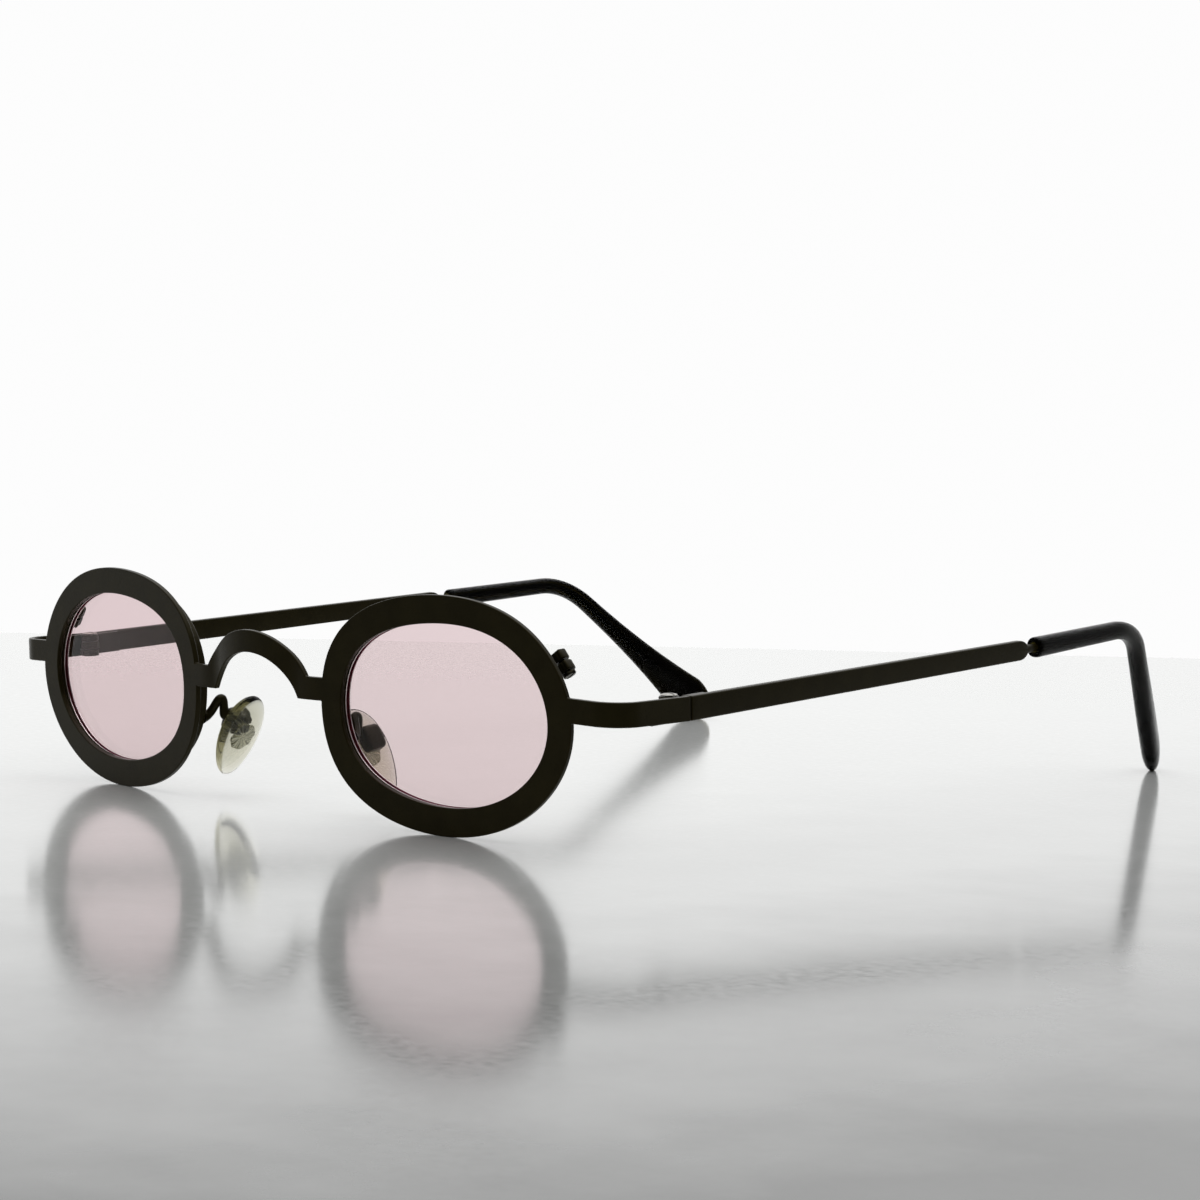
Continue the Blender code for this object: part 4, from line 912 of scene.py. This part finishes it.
over_nose = np.linspace(0, math.pi, LUG_NOSE_STEPS)[:, None]
lug_foot = box_outline(BLOCK_RADIUS, -BLOCK_RADIUS, 0, -BLOCK_STEM, LUG_FOOT)[2 * SOFT_STEPS:]
lug_outline = np.concatenate([BLOCK_RADIUS * np.hstack([np.cos(over_nose), np.sin(over_nose)]), lug_foot])
lug_end = BLOCK_SPLIT / 2 + BLOCK_LENGTH
for name, low, high in (("upper", BLOCK_SPLIT / 2, lug_end), ("lower", -lug_end, -BLOCK_SPLIT / 2)):
    lug = plate(lug_outline, low, high, LUG_EDGE, BLOCK_BORE)
    make_pair(f"closing_block_{name}", [lug], in_block, BARREL, sharp=50)


def upside_down(points):
    """Half a turn about X, which puts the head below."""
    return points * (1, -1, -1)


make_pair(
    "closing_screw", [screw(CLOSING_SCREW, -lug_end - SCREW_SHORT, lug_end + RUNNING_GAP)],
    chained(in_block, upside_down), BLACKENED, sharp=35,
)

# %% [markdown]
# ## The hinge
# A hinge is two bent leaves with round eyes, soldered inside the strip and inside the temple. Their
# eyes sit on each other like fingers, and a domed screw from above is the axis. Everything here is
# in the hinge's frame: Z along the screw, X to the outside.

# %% Frame of the hinge
KNUCKLE_RADIUS, KNUCKLE_OFFSET, AXIS_BEFORE_SEAM, HINGE_BORE = 0.0013, 0.0017, 0.0014, 0.0006
LEAF, FRONT_LEAF_LENGTH, REAR_LEAF_LENGTH, MIDDLE_KNUCKLE, SEAM = 0.0008, 0.0050, 0.0040, 0.0011, 0.00025
LEAF_EDGE, LEAF_CORNER, LEAF_OVERLAP, EYE_STEPS = 0.0001, 0.00012, 0.0003, 64
BAR_THICKNESS = 0.0012
HINGE_PLACE = (HALF_WIDTH - SHEET - KNUCKLE_OFFSET, STRIP_END - AXIS_BEFORE_SEAM, STRIP_CENTRE - STRIP_DROP)
in_hinge = framed(Matrix.Translation(HINGE_PLACE))
print("hinge axis at", np.round(1000 * np.array(HINGE_PLACE), 2))


def eye(bottom, top):
    """A round eye about the axis, with its bore and round edges."""
    turn = full_turn(EYE_STEPS)
    circle = KNUCKLE_RADIUS * np.stack([np.cos(turn), np.sin(turn)], axis=1)
    return plate(circle, bottom, top, LEAF_EDGE, HINGE_BORE)


def slab(x_low, y_low, y_high, bottom, top):
    """A piece of a leaf: a rectangle as thick as the leaf, between two heights."""
    return plate(box_outline(x_low, x_low + LEAF, y_low, y_high, LEAF_CORNER), bottom, top, LEAF_EDGE)


# %% Hinge leaves and screws
HINGE_SCREW = {
    "shank": 0.0005, "head": 0.0011, "height": 0.00012, "dome": 0.00018, "slot_width": 0.00028,
    "slot_depth": 0.00016, "slot_floor": 0.00005,
}
half_strip, half_middle = STRIP_HEIGHT / 2, MIDDLE_KNUCKLE / 2
front_in = KNUCKLE_OFFSET - SOLDER_GAP - LEAF
front_start = math.sqrt(KNUCKLE_RADIUS**2 - front_in**2) + 2 * RUNNING_GAP
front_leaf = [slab(front_in, -FRONT_LEAF_LENGTH, -front_start, -half_strip, half_strip)]
for low in (-half_strip, half_middle + RUNNING_GAP):
    high = low + half_strip - half_middle - RUNNING_GAP
    front_leaf += [eye(low, high), slab(front_in, -front_start - LEAF_OVERLAP, 0.0, low, high)]
make_pair("hinge_leaf_front", front_leaf, in_hinge)

rear_in = KNUCKLE_OFFSET + SHEET - BAR_THICKNESS - SOLDER_GAP - LEAF
rear_start = AXIS_BEFORE_SEAM + 2 * SEAM
rear_half = half_strip - RUNNING_GAP
rear_leaf = [
    slab(rear_in, rear_start, rear_start + REAR_LEAF_LENGTH, -rear_half, rear_half),
    eye(-half_middle, half_middle),
    slab(rear_in, 0.0, rear_start + LEAF_OVERLAP, -half_middle, half_middle),
]
make_pair("hinge_leaf_temple", rear_leaf, in_hinge, body="temple_{side}_body")
hinge_screw = screw(HINGE_SCREW, -half_strip, half_strip + RUNNING_GAP)
make_pair("hinge_screw", [hinge_screw], in_hinge, STEEL, sharp=35)

# %% [markdown]
# ## The temples
# A temple is a flat bar with a round core wire at its back. The bar's section is a rectangle with
# round corners, which tapers to the back and closes in a quarter circle. The wire follows the
# path of the ear bend.

# %% Path of the ear bend
BAR_LENGTH, BAR_END_ROUND, BAR_HEIGHT_BACK, BAR_RISE = 0.0730, 0.0020, 0.00285, 0.00025
TIP_STRAIGHT, TIP_RISE, TIP_TOE_IN, TIP_BEND_RADIUS = 0.0294, 0.0004, 0.0013, 0.0125
TIP_DROP, ARC_STEPS = (-0.0121, 0.0241, -0.0250), 41
BAR_START = AXIS_BEFORE_SEAM + SEAM
BAR_END = BAR_START + BAR_LENGTH
BAR_MIDDLE = KNUCKLE_OFFSET + SHEET - BAR_THICKNESS / 2


def tip_path():
    """Points of the core's middle line, evenly spaced, and their distances: a straight run, an arc
    about the point that lies a radius from both runs, and a straight run down and inwards."""
    start = np.array((BAR_MIDDLE, BAR_END, BAR_RISE))
    corner = start + (-TIP_TOE_IN, TIP_STRAIGHT, TIP_RISE)
    end = corner + TIP_DROP
    one = (start - corner) / np.linalg.norm(start - corner)
    two = (end - corner) / np.linalg.norm(end - corner)
    half = math.acos(one @ two) / 2
    middle = corner + (one + two) / np.linalg.norm(one + two) * TIP_BEND_RADIUS / math.sin(half)
    first = corner + one * TIP_BEND_RADIUS / math.tan(half)
    last = corner + two * TIP_BEND_RADIUS / math.tan(half)
    sweep = math.pi - 2 * half
    t = np.linspace(0, 1, ARC_STEPS)[:, None]
    arc = (np.sin((1 - t) * sweep) * (first - middle) + np.sin(t * sweep) * (last - middle)) / math.sin(sweep)
    points = np.concatenate([start + (first - start) * t[:-1], middle + arc, last + (end - last) * t[1:]])
    return points, distances(points)


def distances(points):
    """How far each point lies along the line through all of them."""
    return np.concatenate([[0], np.linalg.norm(np.diff(points, axis=0), axis=1).cumsum()])


PATH, PATH_LENGTHS = tip_path()
TIP_LENGTH = PATH_LENGTHS[-1]


def on_path(distance):
    """Places on the path at these distances; before its start the path goes on straight along Y."""
    place = np.stack([np.interp(distance, PATH_LENGTHS, PATH[:, i]) for i in range(3)], axis=-1)
    return place + np.minimum(distance, 0)[..., None] * np.array((0, 1, 0))


print("from the bar's end to the end of the tip:", round(1000 * TIP_LENGTH, 1), "mm")

# %% Bar and core wire
BAR_EDGE, BAR_CORNER, BAR_ROWS, BAR_ROUND_ROWS = 0.00016, 0.00026, 60, 12
CORE_RADIUS, CORE_OVERLAP, CORE_SHORT_OF_TIP, CORE_ROWS = 0.00062, 0.0030, 0.0130, 120
CORE_NOSE, CORE_NOSE_STEPS, CORE_NOSE_SHARES = 0.0004, (0.0002, 0.0), (0.9, 0.5)


def bar_rows():
    """Round-cornered rectangles along Y. Height and width shrink over a short round edge in front,
    and the height follows a quarter circle at the back."""
    turn = quarter(BAR_ROUND_ROWS)
    straight = BAR_END - BAR_END_ROUND
    y = np.concatenate([
        BAR_START + BAR_EDGE * (1 - np.cos(turn[:-1])), np.linspace(BAR_START + BAR_EDGE, straight, BAR_ROWS),
        straight + BAR_END_ROUND * np.sin(turn[1:]),
    ])
    front_inset, back_inset = BAR_EDGE * (1 - np.sin(turn[:-1])), BAR_EDGE * (1 - np.cos(turn[1:])) ** 4
    inset = np.concatenate([front_inset, np.zeros(BAR_ROWS), back_inset])
    share = np.clip((y - BAR_START) / (straight - BAR_START), 0, 1)
    height = STRIP_HEIGHT / 2 + (BAR_HEIGHT_BACK - STRIP_HEIGHT) / 2 * share
    height[1 - BAR_ROUND_ROWS:] = np.maximum(BAR_HEIGHT_BACK / 2 * np.cos(turn[1:]), CORE_RADIUS / 2)
    a, b = round_corners(BAR_THICKNESS / 2 - inset, height - inset * (y < straight), BAR_CORNER)
    return level_rows(y, BAR_MIDDLE + a, (BAR_RISE * share)[:, None] + b)[..., [1, 0, 2]]


core_end = TIP_LENGTH - CORE_SHORT_OF_TIP
core_run = np.linspace(-CORE_OVERLAP, core_end - CORE_NOSE, CORE_ROWS)
core_stations = np.concatenate([core_run, core_end - np.array(CORE_NOSE_STEPS)])
core_radius = CORE_RADIUS * np.concatenate([np.ones(CORE_ROWS), CORE_NOSE_SHARES])
temple = [skin(bar_rows()), wire(on_path(core_stations), core_radius)]
make_pair("temple", temple, in_hinge, body="temple_{side}_body", sharp=50)

# %% [markdown]
# ## The sleeves
# The tips are moulded sleeves of smoked, see-through plastic. A sleeve is a row of squared ovals
# along the same path. It narrows before the bend and then flattens and turns to a paddle. The
# first rows lie inside: they are the bore for the core wire, and lead to the round lip.

# %% Temple tips
NECK, TIP_HEIGHT, TIP_WIDTH, TIP_BEND_HEIGHT, TIP_NARROWING = 0.0021, 0.0030, 0.0026, 0.0027, 0.0057
PADDLE_WIDTH, PADDLE_THICKNESS, PADDLE_END, PADDLE_SPREAD = 0.0072, 0.0030, 0.0055, 2.3
PADDLE_TWIST, TIP_SECTION_POWER, BORE_RADIUS = math.radians(-24), 2.4, CORE_RADIUS + 0.00012
TIP_MOUTH, MOUTH_SHARE, POINT_SHARE, EDGE_SHARE = 0.0006, 0.8, 0.06, 0.35
BORE_ROWS, TIP_ROWS, END_ROWS, TIP_POINTS, TIP_LOOK = 90, 130, 22, 48, 3e-4


def tip_stations():
    """Distances of the rows along the path: the bore outwards to the neck, then lip, body and end."""
    body_end = TIP_LENGTH - PADDLE_END
    return np.concatenate([
        np.linspace(core_end + SOLDER_GAP, NECK + SOLDER_GAP, BORE_ROWS), [NECK],
        NECK + TIP_MOUTH * (1 - np.cos(quarter())),
        np.linspace(NECK + TIP_MOUTH, body_end, TIP_ROWS)[1:],
        body_end + PADDLE_END * np.sin(quarter(END_ROWS))[1:],
    ])


def tip_frame(s, share):
    """Two unit vectors across the path at every row, turned about it by the paddle's twist."""
    tangent = on_path(np.minimum(s + TIP_LOOK, TIP_LENGTH)) - on_path(s - TIP_LOOK)
    tangent /= np.linalg.norm(tangent, axis=1)[:, None]
    across = np.array((1.0, 0, 0)) - tangent * tangent[:, :1]
    across /= np.linalg.norm(across, axis=1)[:, None]
    twist = (PADDLE_TWIST * share)[:, None]
    turned = across * np.cos(twist) + np.cross(tangent, across) * np.sin(twist)
    return np.cross(turned, tangent), turned


def signed_power(values, power):
    """|v|^power with the sign of v."""
    return np.sign(values) * np.abs(values) ** power


def tip_rows():
    """Squared ovals across the path: height * |cos|^(2/p) and width * |sin|^(2/p), shrunk at the lip
    and over the round end."""
    s = tip_stations()
    bore = np.arange(len(s)) <= BORE_ROWS
    share = np.clip((s - TIP_STRAIGHT) / (TIP_LENGTH - PADDLE_END - TIP_STRAIGHT), 0, 1)
    height = np.interp(s, [0, TIP_STRAIGHT - TIP_NARROWING], [TIP_HEIGHT, TIP_BEND_HEIGHT])
    height = height + (PADDLE_WIDTH - TIP_BEND_HEIGHT) * share**PADDLE_SPREAD
    width = TIP_WIDTH + (PADDLE_THICKNESS - TIP_WIDTH) * share
    opened = np.clip((s - NECK) / TIP_MOUTH, 0, 1)
    past = np.clip((s - TIP_LENGTH + PADDLE_END) / PADDLE_END, 0, 1)
    shrink = MOUTH_SHARE + (1 - MOUTH_SHARE) * np.sqrt(1 - (1 - opened) ** 2)
    shrink = np.minimum(shrink, np.maximum(POINT_SHARE, np.sqrt(1 - past**2)))
    thin = EDGE_SHARE * np.sqrt(np.sqrt(1.0001 - past))
    flat = np.where(past > 0, np.maximum(shrink, thin), shrink)
    power = np.where(bore, 1.0, 2 / TIP_SECTION_POWER)[:, None]
    turn = full_turn(TIP_POINTS)[None]
    a = signed_power(np.cos(turn), power) * np.where(bore, BORE_RADIUS, height / 2 * shrink)[:, None]
    b = signed_power(np.sin(turn), power) * np.where(bore, BORE_RADIUS, width / 2 * flat)[:, None]
    upward, outward = tip_frame(s, share)
    return on_path(s)[:, None] + upward[:, None] * a[..., None] + outward[:, None] * b[..., None]


make_pair("temple_tip", [skin(tip_rows())], in_hinge, SLEEVE, "temple_{side}_body", sharp=50)

# %% [markdown]
# ## The nose pads
# A pad is a soft cushion moulded over a ribbed disc. Behind it the disc's tab enters a small box,
# and a screw across the box is the axis on which the pad rocks. A bent wire, soldered to the
# eyewire, carries the box. Disc, tab, box and screw are drawn about that axis.

# %% Frame of the pad
PAD_CENTRE = (0.0140, 0.0097, 0.0084)
PAD_SPLAY, PAD_FLARE, PAD_LEAN = math.radians(30), math.radians(2), math.radians(3.4)
PAD_HALF_LENGTH, PAD_HALF_WIDTH, PAD_NOSE_SIDE, PAD_REAR_SIDE = 0.0067, 0.0037, 0.0015, 0.0005
PAD_BELOW_SCREW, PAD_TAPER, PAD_FULLNESS, PAD_STANDOFF = 0.0017, 0.20, 0.8, 0.0003
BOX_LENGTH, BOX_WIDTH, BOX_DEPTH, BOX_BASE, AXIS_IN_BOX = 0.0035, 0.0032, 0.0018, 0.0003, 0.0006
BOX_ROOM, BOX_SIDE_ROOM, BOX_ROUND = 0.0005, 0.0002, 0.0007
BOX_FLOOR, HALF_BOX = BOX_DEPTH - BOX_BASE - AXIS_IN_BOX, BOX_WIDTH / 2
SCREW_FROM_PAD = PAD_REAR_SIDE + PAD_STANDOFF + AXIS_IN_BOX


def pad_matrix():
    """X away from the nose, Y back, Z up along the pad: splayed below, flared, leaning back."""
    aside, below, lean = math.sin(PAD_SPLAY), math.cos(PAD_SPLAY), math.cos(PAD_LEAN)
    down = Vector((aside * lean, math.sin(PAD_LEAN), -below * lean))
    away = Vector((below, 0, aside))
    away.rotate(Matrix.Rotation(PAD_FLARE, 3, down))
    place = Vector(PAD_CENTRE) + away * SCREW_FROM_PAD - down * PAD_BELOW_SCREW
    return turned_matrix(away, (-down).cross(away), -down, place)


in_pad = framed(pad_matrix())
print("pad screw at", np.round(1000 * in_pad(np.zeros(3)), 2))

# %% [markdown]
# ## Cushion and insert
# The cushion is a flattened drop, fuller to the nose than to the rear. The insert is a coin with
# eight ribs, and a flat tab with a cross bore stands on its back.

# %% Cushion and insert
MOUNT_RADIUS, MOUNT_THICKNESS, MOUNT_RIBS, MOUNT_SINK = 0.0021, 0.0005, 8, 0.0012
OUTLINE_RIPPLE, FACE_RIPPLE, MOUNT_ROWS, MOUNT_STEPS = 0.00005, 0.0001, 16, 160
MOUNT_FACE, RIM_SHARES, RIM_SIDES = (0.03, 0.94), (0.98, 1.0, 0.98), (0.6, 0.0, -0.6)
TAB_LENGTH, TAB_WIDTH, TAB_CORNER, TAB_EDGE, PAD_BORE = 0.0012, 0.0013, 0.0003, 0.0001, 0.0004
POLE, CUSHION_ROWS, CUSHION_STEPS = math.pi / 2 - 0.02, 72, 96
MOUNT_PLACE = PAD_REAR_SIDE - SCREW_FROM_PAD - MOUNT_SINK


def cushion_rows():
    """Circles of latitude about X, from the rear to the nose side. Each bulges as |x|^fullness, with
    one thickness to the nose and another to the rear, and the width grows towards the top."""
    latitude = np.linspace(POLE, -POLE, CUSHION_ROWS)[:, None]
    turn = full_turn(CUSHION_STEPS)[None]
    x = np.sin(latitude)
    y, z = np.cos(latitude) * np.cos(turn), np.cos(latitude) * np.sin(turn)
    bulge = signed_power(x, PAD_FULLNESS) * np.where(x < 0, PAD_NOSE_SIDE, PAD_REAR_SIDE)
    width = PAD_HALF_WIDTH * (1 + PAD_TAPER * z)
    return level_rows(bulge - SCREW_FROM_PAD, y * width, z * PAD_HALF_LENGTH - PAD_BELOW_SCREW)


def disc_rows():
    """A disc about X whose outline and whose two faces ripple as cos of the ribs' number times the
    angle; the ripple fades towards the middle."""
    turn = full_turn(MOUNT_STEPS)[None]
    valley = 1 - np.cos(MOUNT_RIBS * turn)
    rising, flat = np.linspace(*MOUNT_FACE, MOUNT_ROWS), np.ones(MOUNT_ROWS)
    share = np.concatenate([rising, RIM_SHARES, rising[::-1]])[:, None]
    side = np.concatenate([flat, RIM_SIDES, -flat])[:, None]
    radius = share * (MOUNT_RADIUS - OUTLINE_RIPPLE * valley)
    x = MOUNT_PLACE + side * (MOUNT_THICKNESS / 2 - FACE_RIPPLE * valley * share)
    y, z = radius * np.cos(turn), radius * np.sin(turn) - MOUNT_BELOW_SCREW
    return np.stack([x, y, z], axis=-1)


half_tab = TAB_LENGTH / 2
tab_outline = box_outline(MOUNT_PLACE, BOX_FLOOR - BOX_SIDE_ROOM, -half_tab, half_tab, TAB_CORNER)
tab_points, *tab_faces = plate(tab_outline, -TAB_WIDTH / 2, TAB_WIDTH / 2, TAB_EDGE, PAD_BORE)
tab = (tab_points[:, [0, 2, 1]], *tab_faces)
make_pair("nose_pad", [skin(cushion_rows())], in_pad, SILICONE, "nose_pad_{side}_body", sharp=60)
make_pair("pad_mount", [skin(disc_rows()), tab], in_pad, INSERT, "nose_pad_{side}_body")

# %% [markdown]
# ## Box and screw
# The box is pressed from thin sheet, open to the pad and round at its closed end. One skin goes up
# its inside, over the lip and down its outside.

# %% Box and screw
BOX_LIP, ROOM_CORNER, ROOM_EDGE, LIP_FLARE, LIP_START = 0.0002, 0.0003, 0.0001, 0.00006, 0.00002
PAD_SCREW = {
    "shank": 0.0003, "head": 0.0006, "height": 0.0003, "dome": 0.00003, "slot_width": 0.00018,
    "slot_depth": 0.00014, "slot_floor": 0.0001,
}
PAD_SCREW_OUT, PAD_SCREW_STEPS = 0.00003, 72


def box_rows():
    """Round-cornered rectangles about X: up from the floor of the room, over the lip, along the
    outside and over the round closed end."""
    lip, end, turn = -AXIS_IN_BOX, BOX_DEPTH - AXIS_IN_BOX, quarter()
    room = [BOX_FLOOR, BOX_FLOOR - ROOM_EDGE, lip + ROOM_EDGE, lip + LIP_START]
    x = np.concatenate([room, lip + BOX_LIP * (1 - np.cos(turn)), end - BOX_ROUND * (1 - np.sin(turn))])
    outer_inset = np.concatenate([BOX_LIP * (1 - np.sin(turn)), BOX_ROUND * (1 - np.cos(turn))])
    inner_inset = np.array([ROOM_EDGE, 0, 0, -LIP_FLARE])
    half_y = np.concatenate([TAB_WIDTH / 2 + BOX_SIDE_ROOM - inner_inset, HALF_BOX - outer_inset])
    half_z = np.concatenate([half_tab + BOX_ROOM - inner_inset, BOX_LENGTH / 2 - outer_inset])
    a, b = round_corners(half_y, half_z, np.where(np.arange(len(x)) < len(room), ROOM_CORNER, BOX_ROUND))
    return level_rows(x, a, b)


def head_to_back(points):
    """The screw's Z becomes the pad's Y."""
    return points[:, [0, 2, 1]] * (1, 1, -1)


make_pair("pad_box", [skin(box_rows())], in_pad, sharp=50)
make_pair(
    "pad_screw", [screw(PAD_SCREW, -HALF_BOX - PAD_SCREW_OUT, HALF_BOX + RUNNING_GAP, PAD_SCREW_STEPS)],
    chained(in_pad, head_to_back), BLACKENED, sharp=35,
)

# %% [markdown]
# ## Pad arm
# The arm is wire, bent by hand in an S: back from the eyewire, over a crown and down to the box.
# Two cubic curves that share the crown give that shape. It is a little thicker at both ends,
# where the solder runs up.

# %% Pad arm
ARM_RADIUS, ARM_FOOT_HEIGHT, ARM_FOOT_REACH, ARM_CROWN_REACH = 0.00061, 0.0105, 0.0016, 0.0009
ARM_CROWN, ARM_ABOVE_SCREW, ARM_END_REACH = (-0.0015, 0.0021, 0.0025), 0.0011, 0.0008
FOOT_SOLDER, FOOT_RUN, BOX_SOLDER, BOX_RUN, ARM_POINTS, ARM_STEPS = 0.00034, 0.0005, 0.0003, 0.0004, 40, 24
BACK = np.array((0.0, 1.0, 0.0))


def cubic(a, b, c, d):
    """Points of a curve: (1-t)^3 A + 3t(1-t)^2 B + 3t^2(1-t) C + t^3 D."""
    t = np.linspace(0, 1, ARM_POINTS)[:, None]
    return (1 - t) ** 3 * a + 3 * t * (1 - t) ** 2 * b + 3 * t**2 * (1 - t) * c + t**3 * d


def arm_path():
    """Two cubic curves, from the back of the eyewire to the crown and on to the front of the box."""
    (foot,), _ = opening_place(WIRE_CENTRE, height_angle(ARM_FOOT_HEIGHT, True))
    start = in_ring(np.array((foot[0], WIRE_BACK + SOLDER_GAP, foot[1])))
    end = in_pad(np.array((BOX_DEPTH / 2 - AXIS_IN_BOX, -HALF_BOX - SOLDER_GAP, ARM_ABOVE_SCREW)))
    leaving, arriving = (place(BACK) - place(np.zeros(3)) for place in (in_ring, in_pad))
    crown, along = start + ARM_CROWN, BACK * ARM_CROWN_REACH
    rise = cubic(start, start + leaving * ARM_FOOT_REACH, crown - along, crown)
    fall = cubic(crown, crown + along, end - arriving * ARM_END_REACH, end)
    return np.concatenate([rise[:-1], fall])


arm = arm_path()
from_foot = distances(arm)
at_foot = FOOT_SOLDER * np.exp(-from_foot / FOOT_RUN)
at_box = BOX_SOLDER * np.exp((from_foot - from_foot[-1]) / BOX_RUN)
arm_skin = wire(arm, ARM_RADIUS + at_foot + at_box, ARM_STEPS)
make_pair("pad_arm", [arm_skin], lambda points: points, sharp=60)

# %% [markdown]
# ## The table
# A satin pale table top that ends a hand's breadth behind the glasses. Seen this low it mirrors
# the bright wall softly. Its grey carries painted shade: it is painted darker towards the viewer
# and to the right, where less light falls. Its grey is also mottled a little, as such a coat dries.

# %% Table top
TABLE_END, TABLE_REACH = 0.2507, 4.0
# Painted shade on the table: the grey darkens along the view between these places, and to the right.
PAINTED_FALLOFF_PLACE, PAINTED_DIM_PLACE, PAINTED_DIM_SHIFT = (-0.62, 0.10), (0.0, 0.12), (0.0, -0.13)
MOTTLE_SIZE, MOTTLE, TABLE_GRAIN, TABLE_GLOSS = 0.016, 0.07, 0.0012, [(0.3, 0.10), (0.7, 0.15)]
TABLE_MIRROR, TABLE_TINT = 0.30, np.array((0.985, 1.0, 0.98))
# Greys along the view as painted shade: darkest between the glasses and the camera, paler far behind and far
# in front.
TABLE_PAINTED_SHADE_GREYS = (
    (0.0, 0.55), (0.31, 0.30), (0.53, 0.14), (0.58, 0.27),
    (0.64, 0.38), (0.73, 0.58), (0.88, 0.74), (1.0, 0.79),
)


def satin_table_painted_shade():
    """Pale satin: a soft mirror over a grey. The grey follows the distance along the view as painted
    shade, darker towards the viewer; more painted shade darkens it to the right, and a cloudy noise
    shifts it."""
    finish, graph, shader, output = new_finish("satin_table_painted_shade")
    place = object_place(graph)
    # Painted shade: the grey is darker towards the viewer and to the right, where less light falls.
    painted_falloff = add_range(graph, add_distance(graph, place, AWAY), PAINTED_FALLOFF_PLACE, (0.0, 1.0))
    painted_dim_right = add_range(graph, add_distance(graph, place, SIDEWAYS), PAINTED_DIM_PLACE, PAINTED_DIM_SHIFT)
    painted_dim_and_mottle = add_math(graph, "MULTIPLY_ADD", add_grain(graph, MOTTLE_SIZE), MOTTLE, painted_dim_right)
    stops = [(at, grey * TABLE_TINT) for at, grey in TABLE_PAINTED_SHADE_GREYS]
    vary(graph, add_math(graph, "ADD", painted_falloff, painted_dim_and_mottle), stops, shader.inputs["Base Color"])
    shader.inputs["Metallic"].default_value = TABLE_MIRROR
    vary(graph, add_grain(graph, TABLE_GRAIN), TABLE_GLOSS, shader.inputs["Roughness"])
    return finish


far, near = np.array(AWAY) * TABLE_END, np.array(AWAY) * -TABLE_REACH
aside = np.array(SIDEWAYS) * TABLE_REACH
corners = np.array([near - aside, near + aside, far + aside, far - aside])
table = new_object("table_top", corners, [(0, 1, 2, 3)], satin_table_painted_shade())
print("table finish:", table.active_material.name)
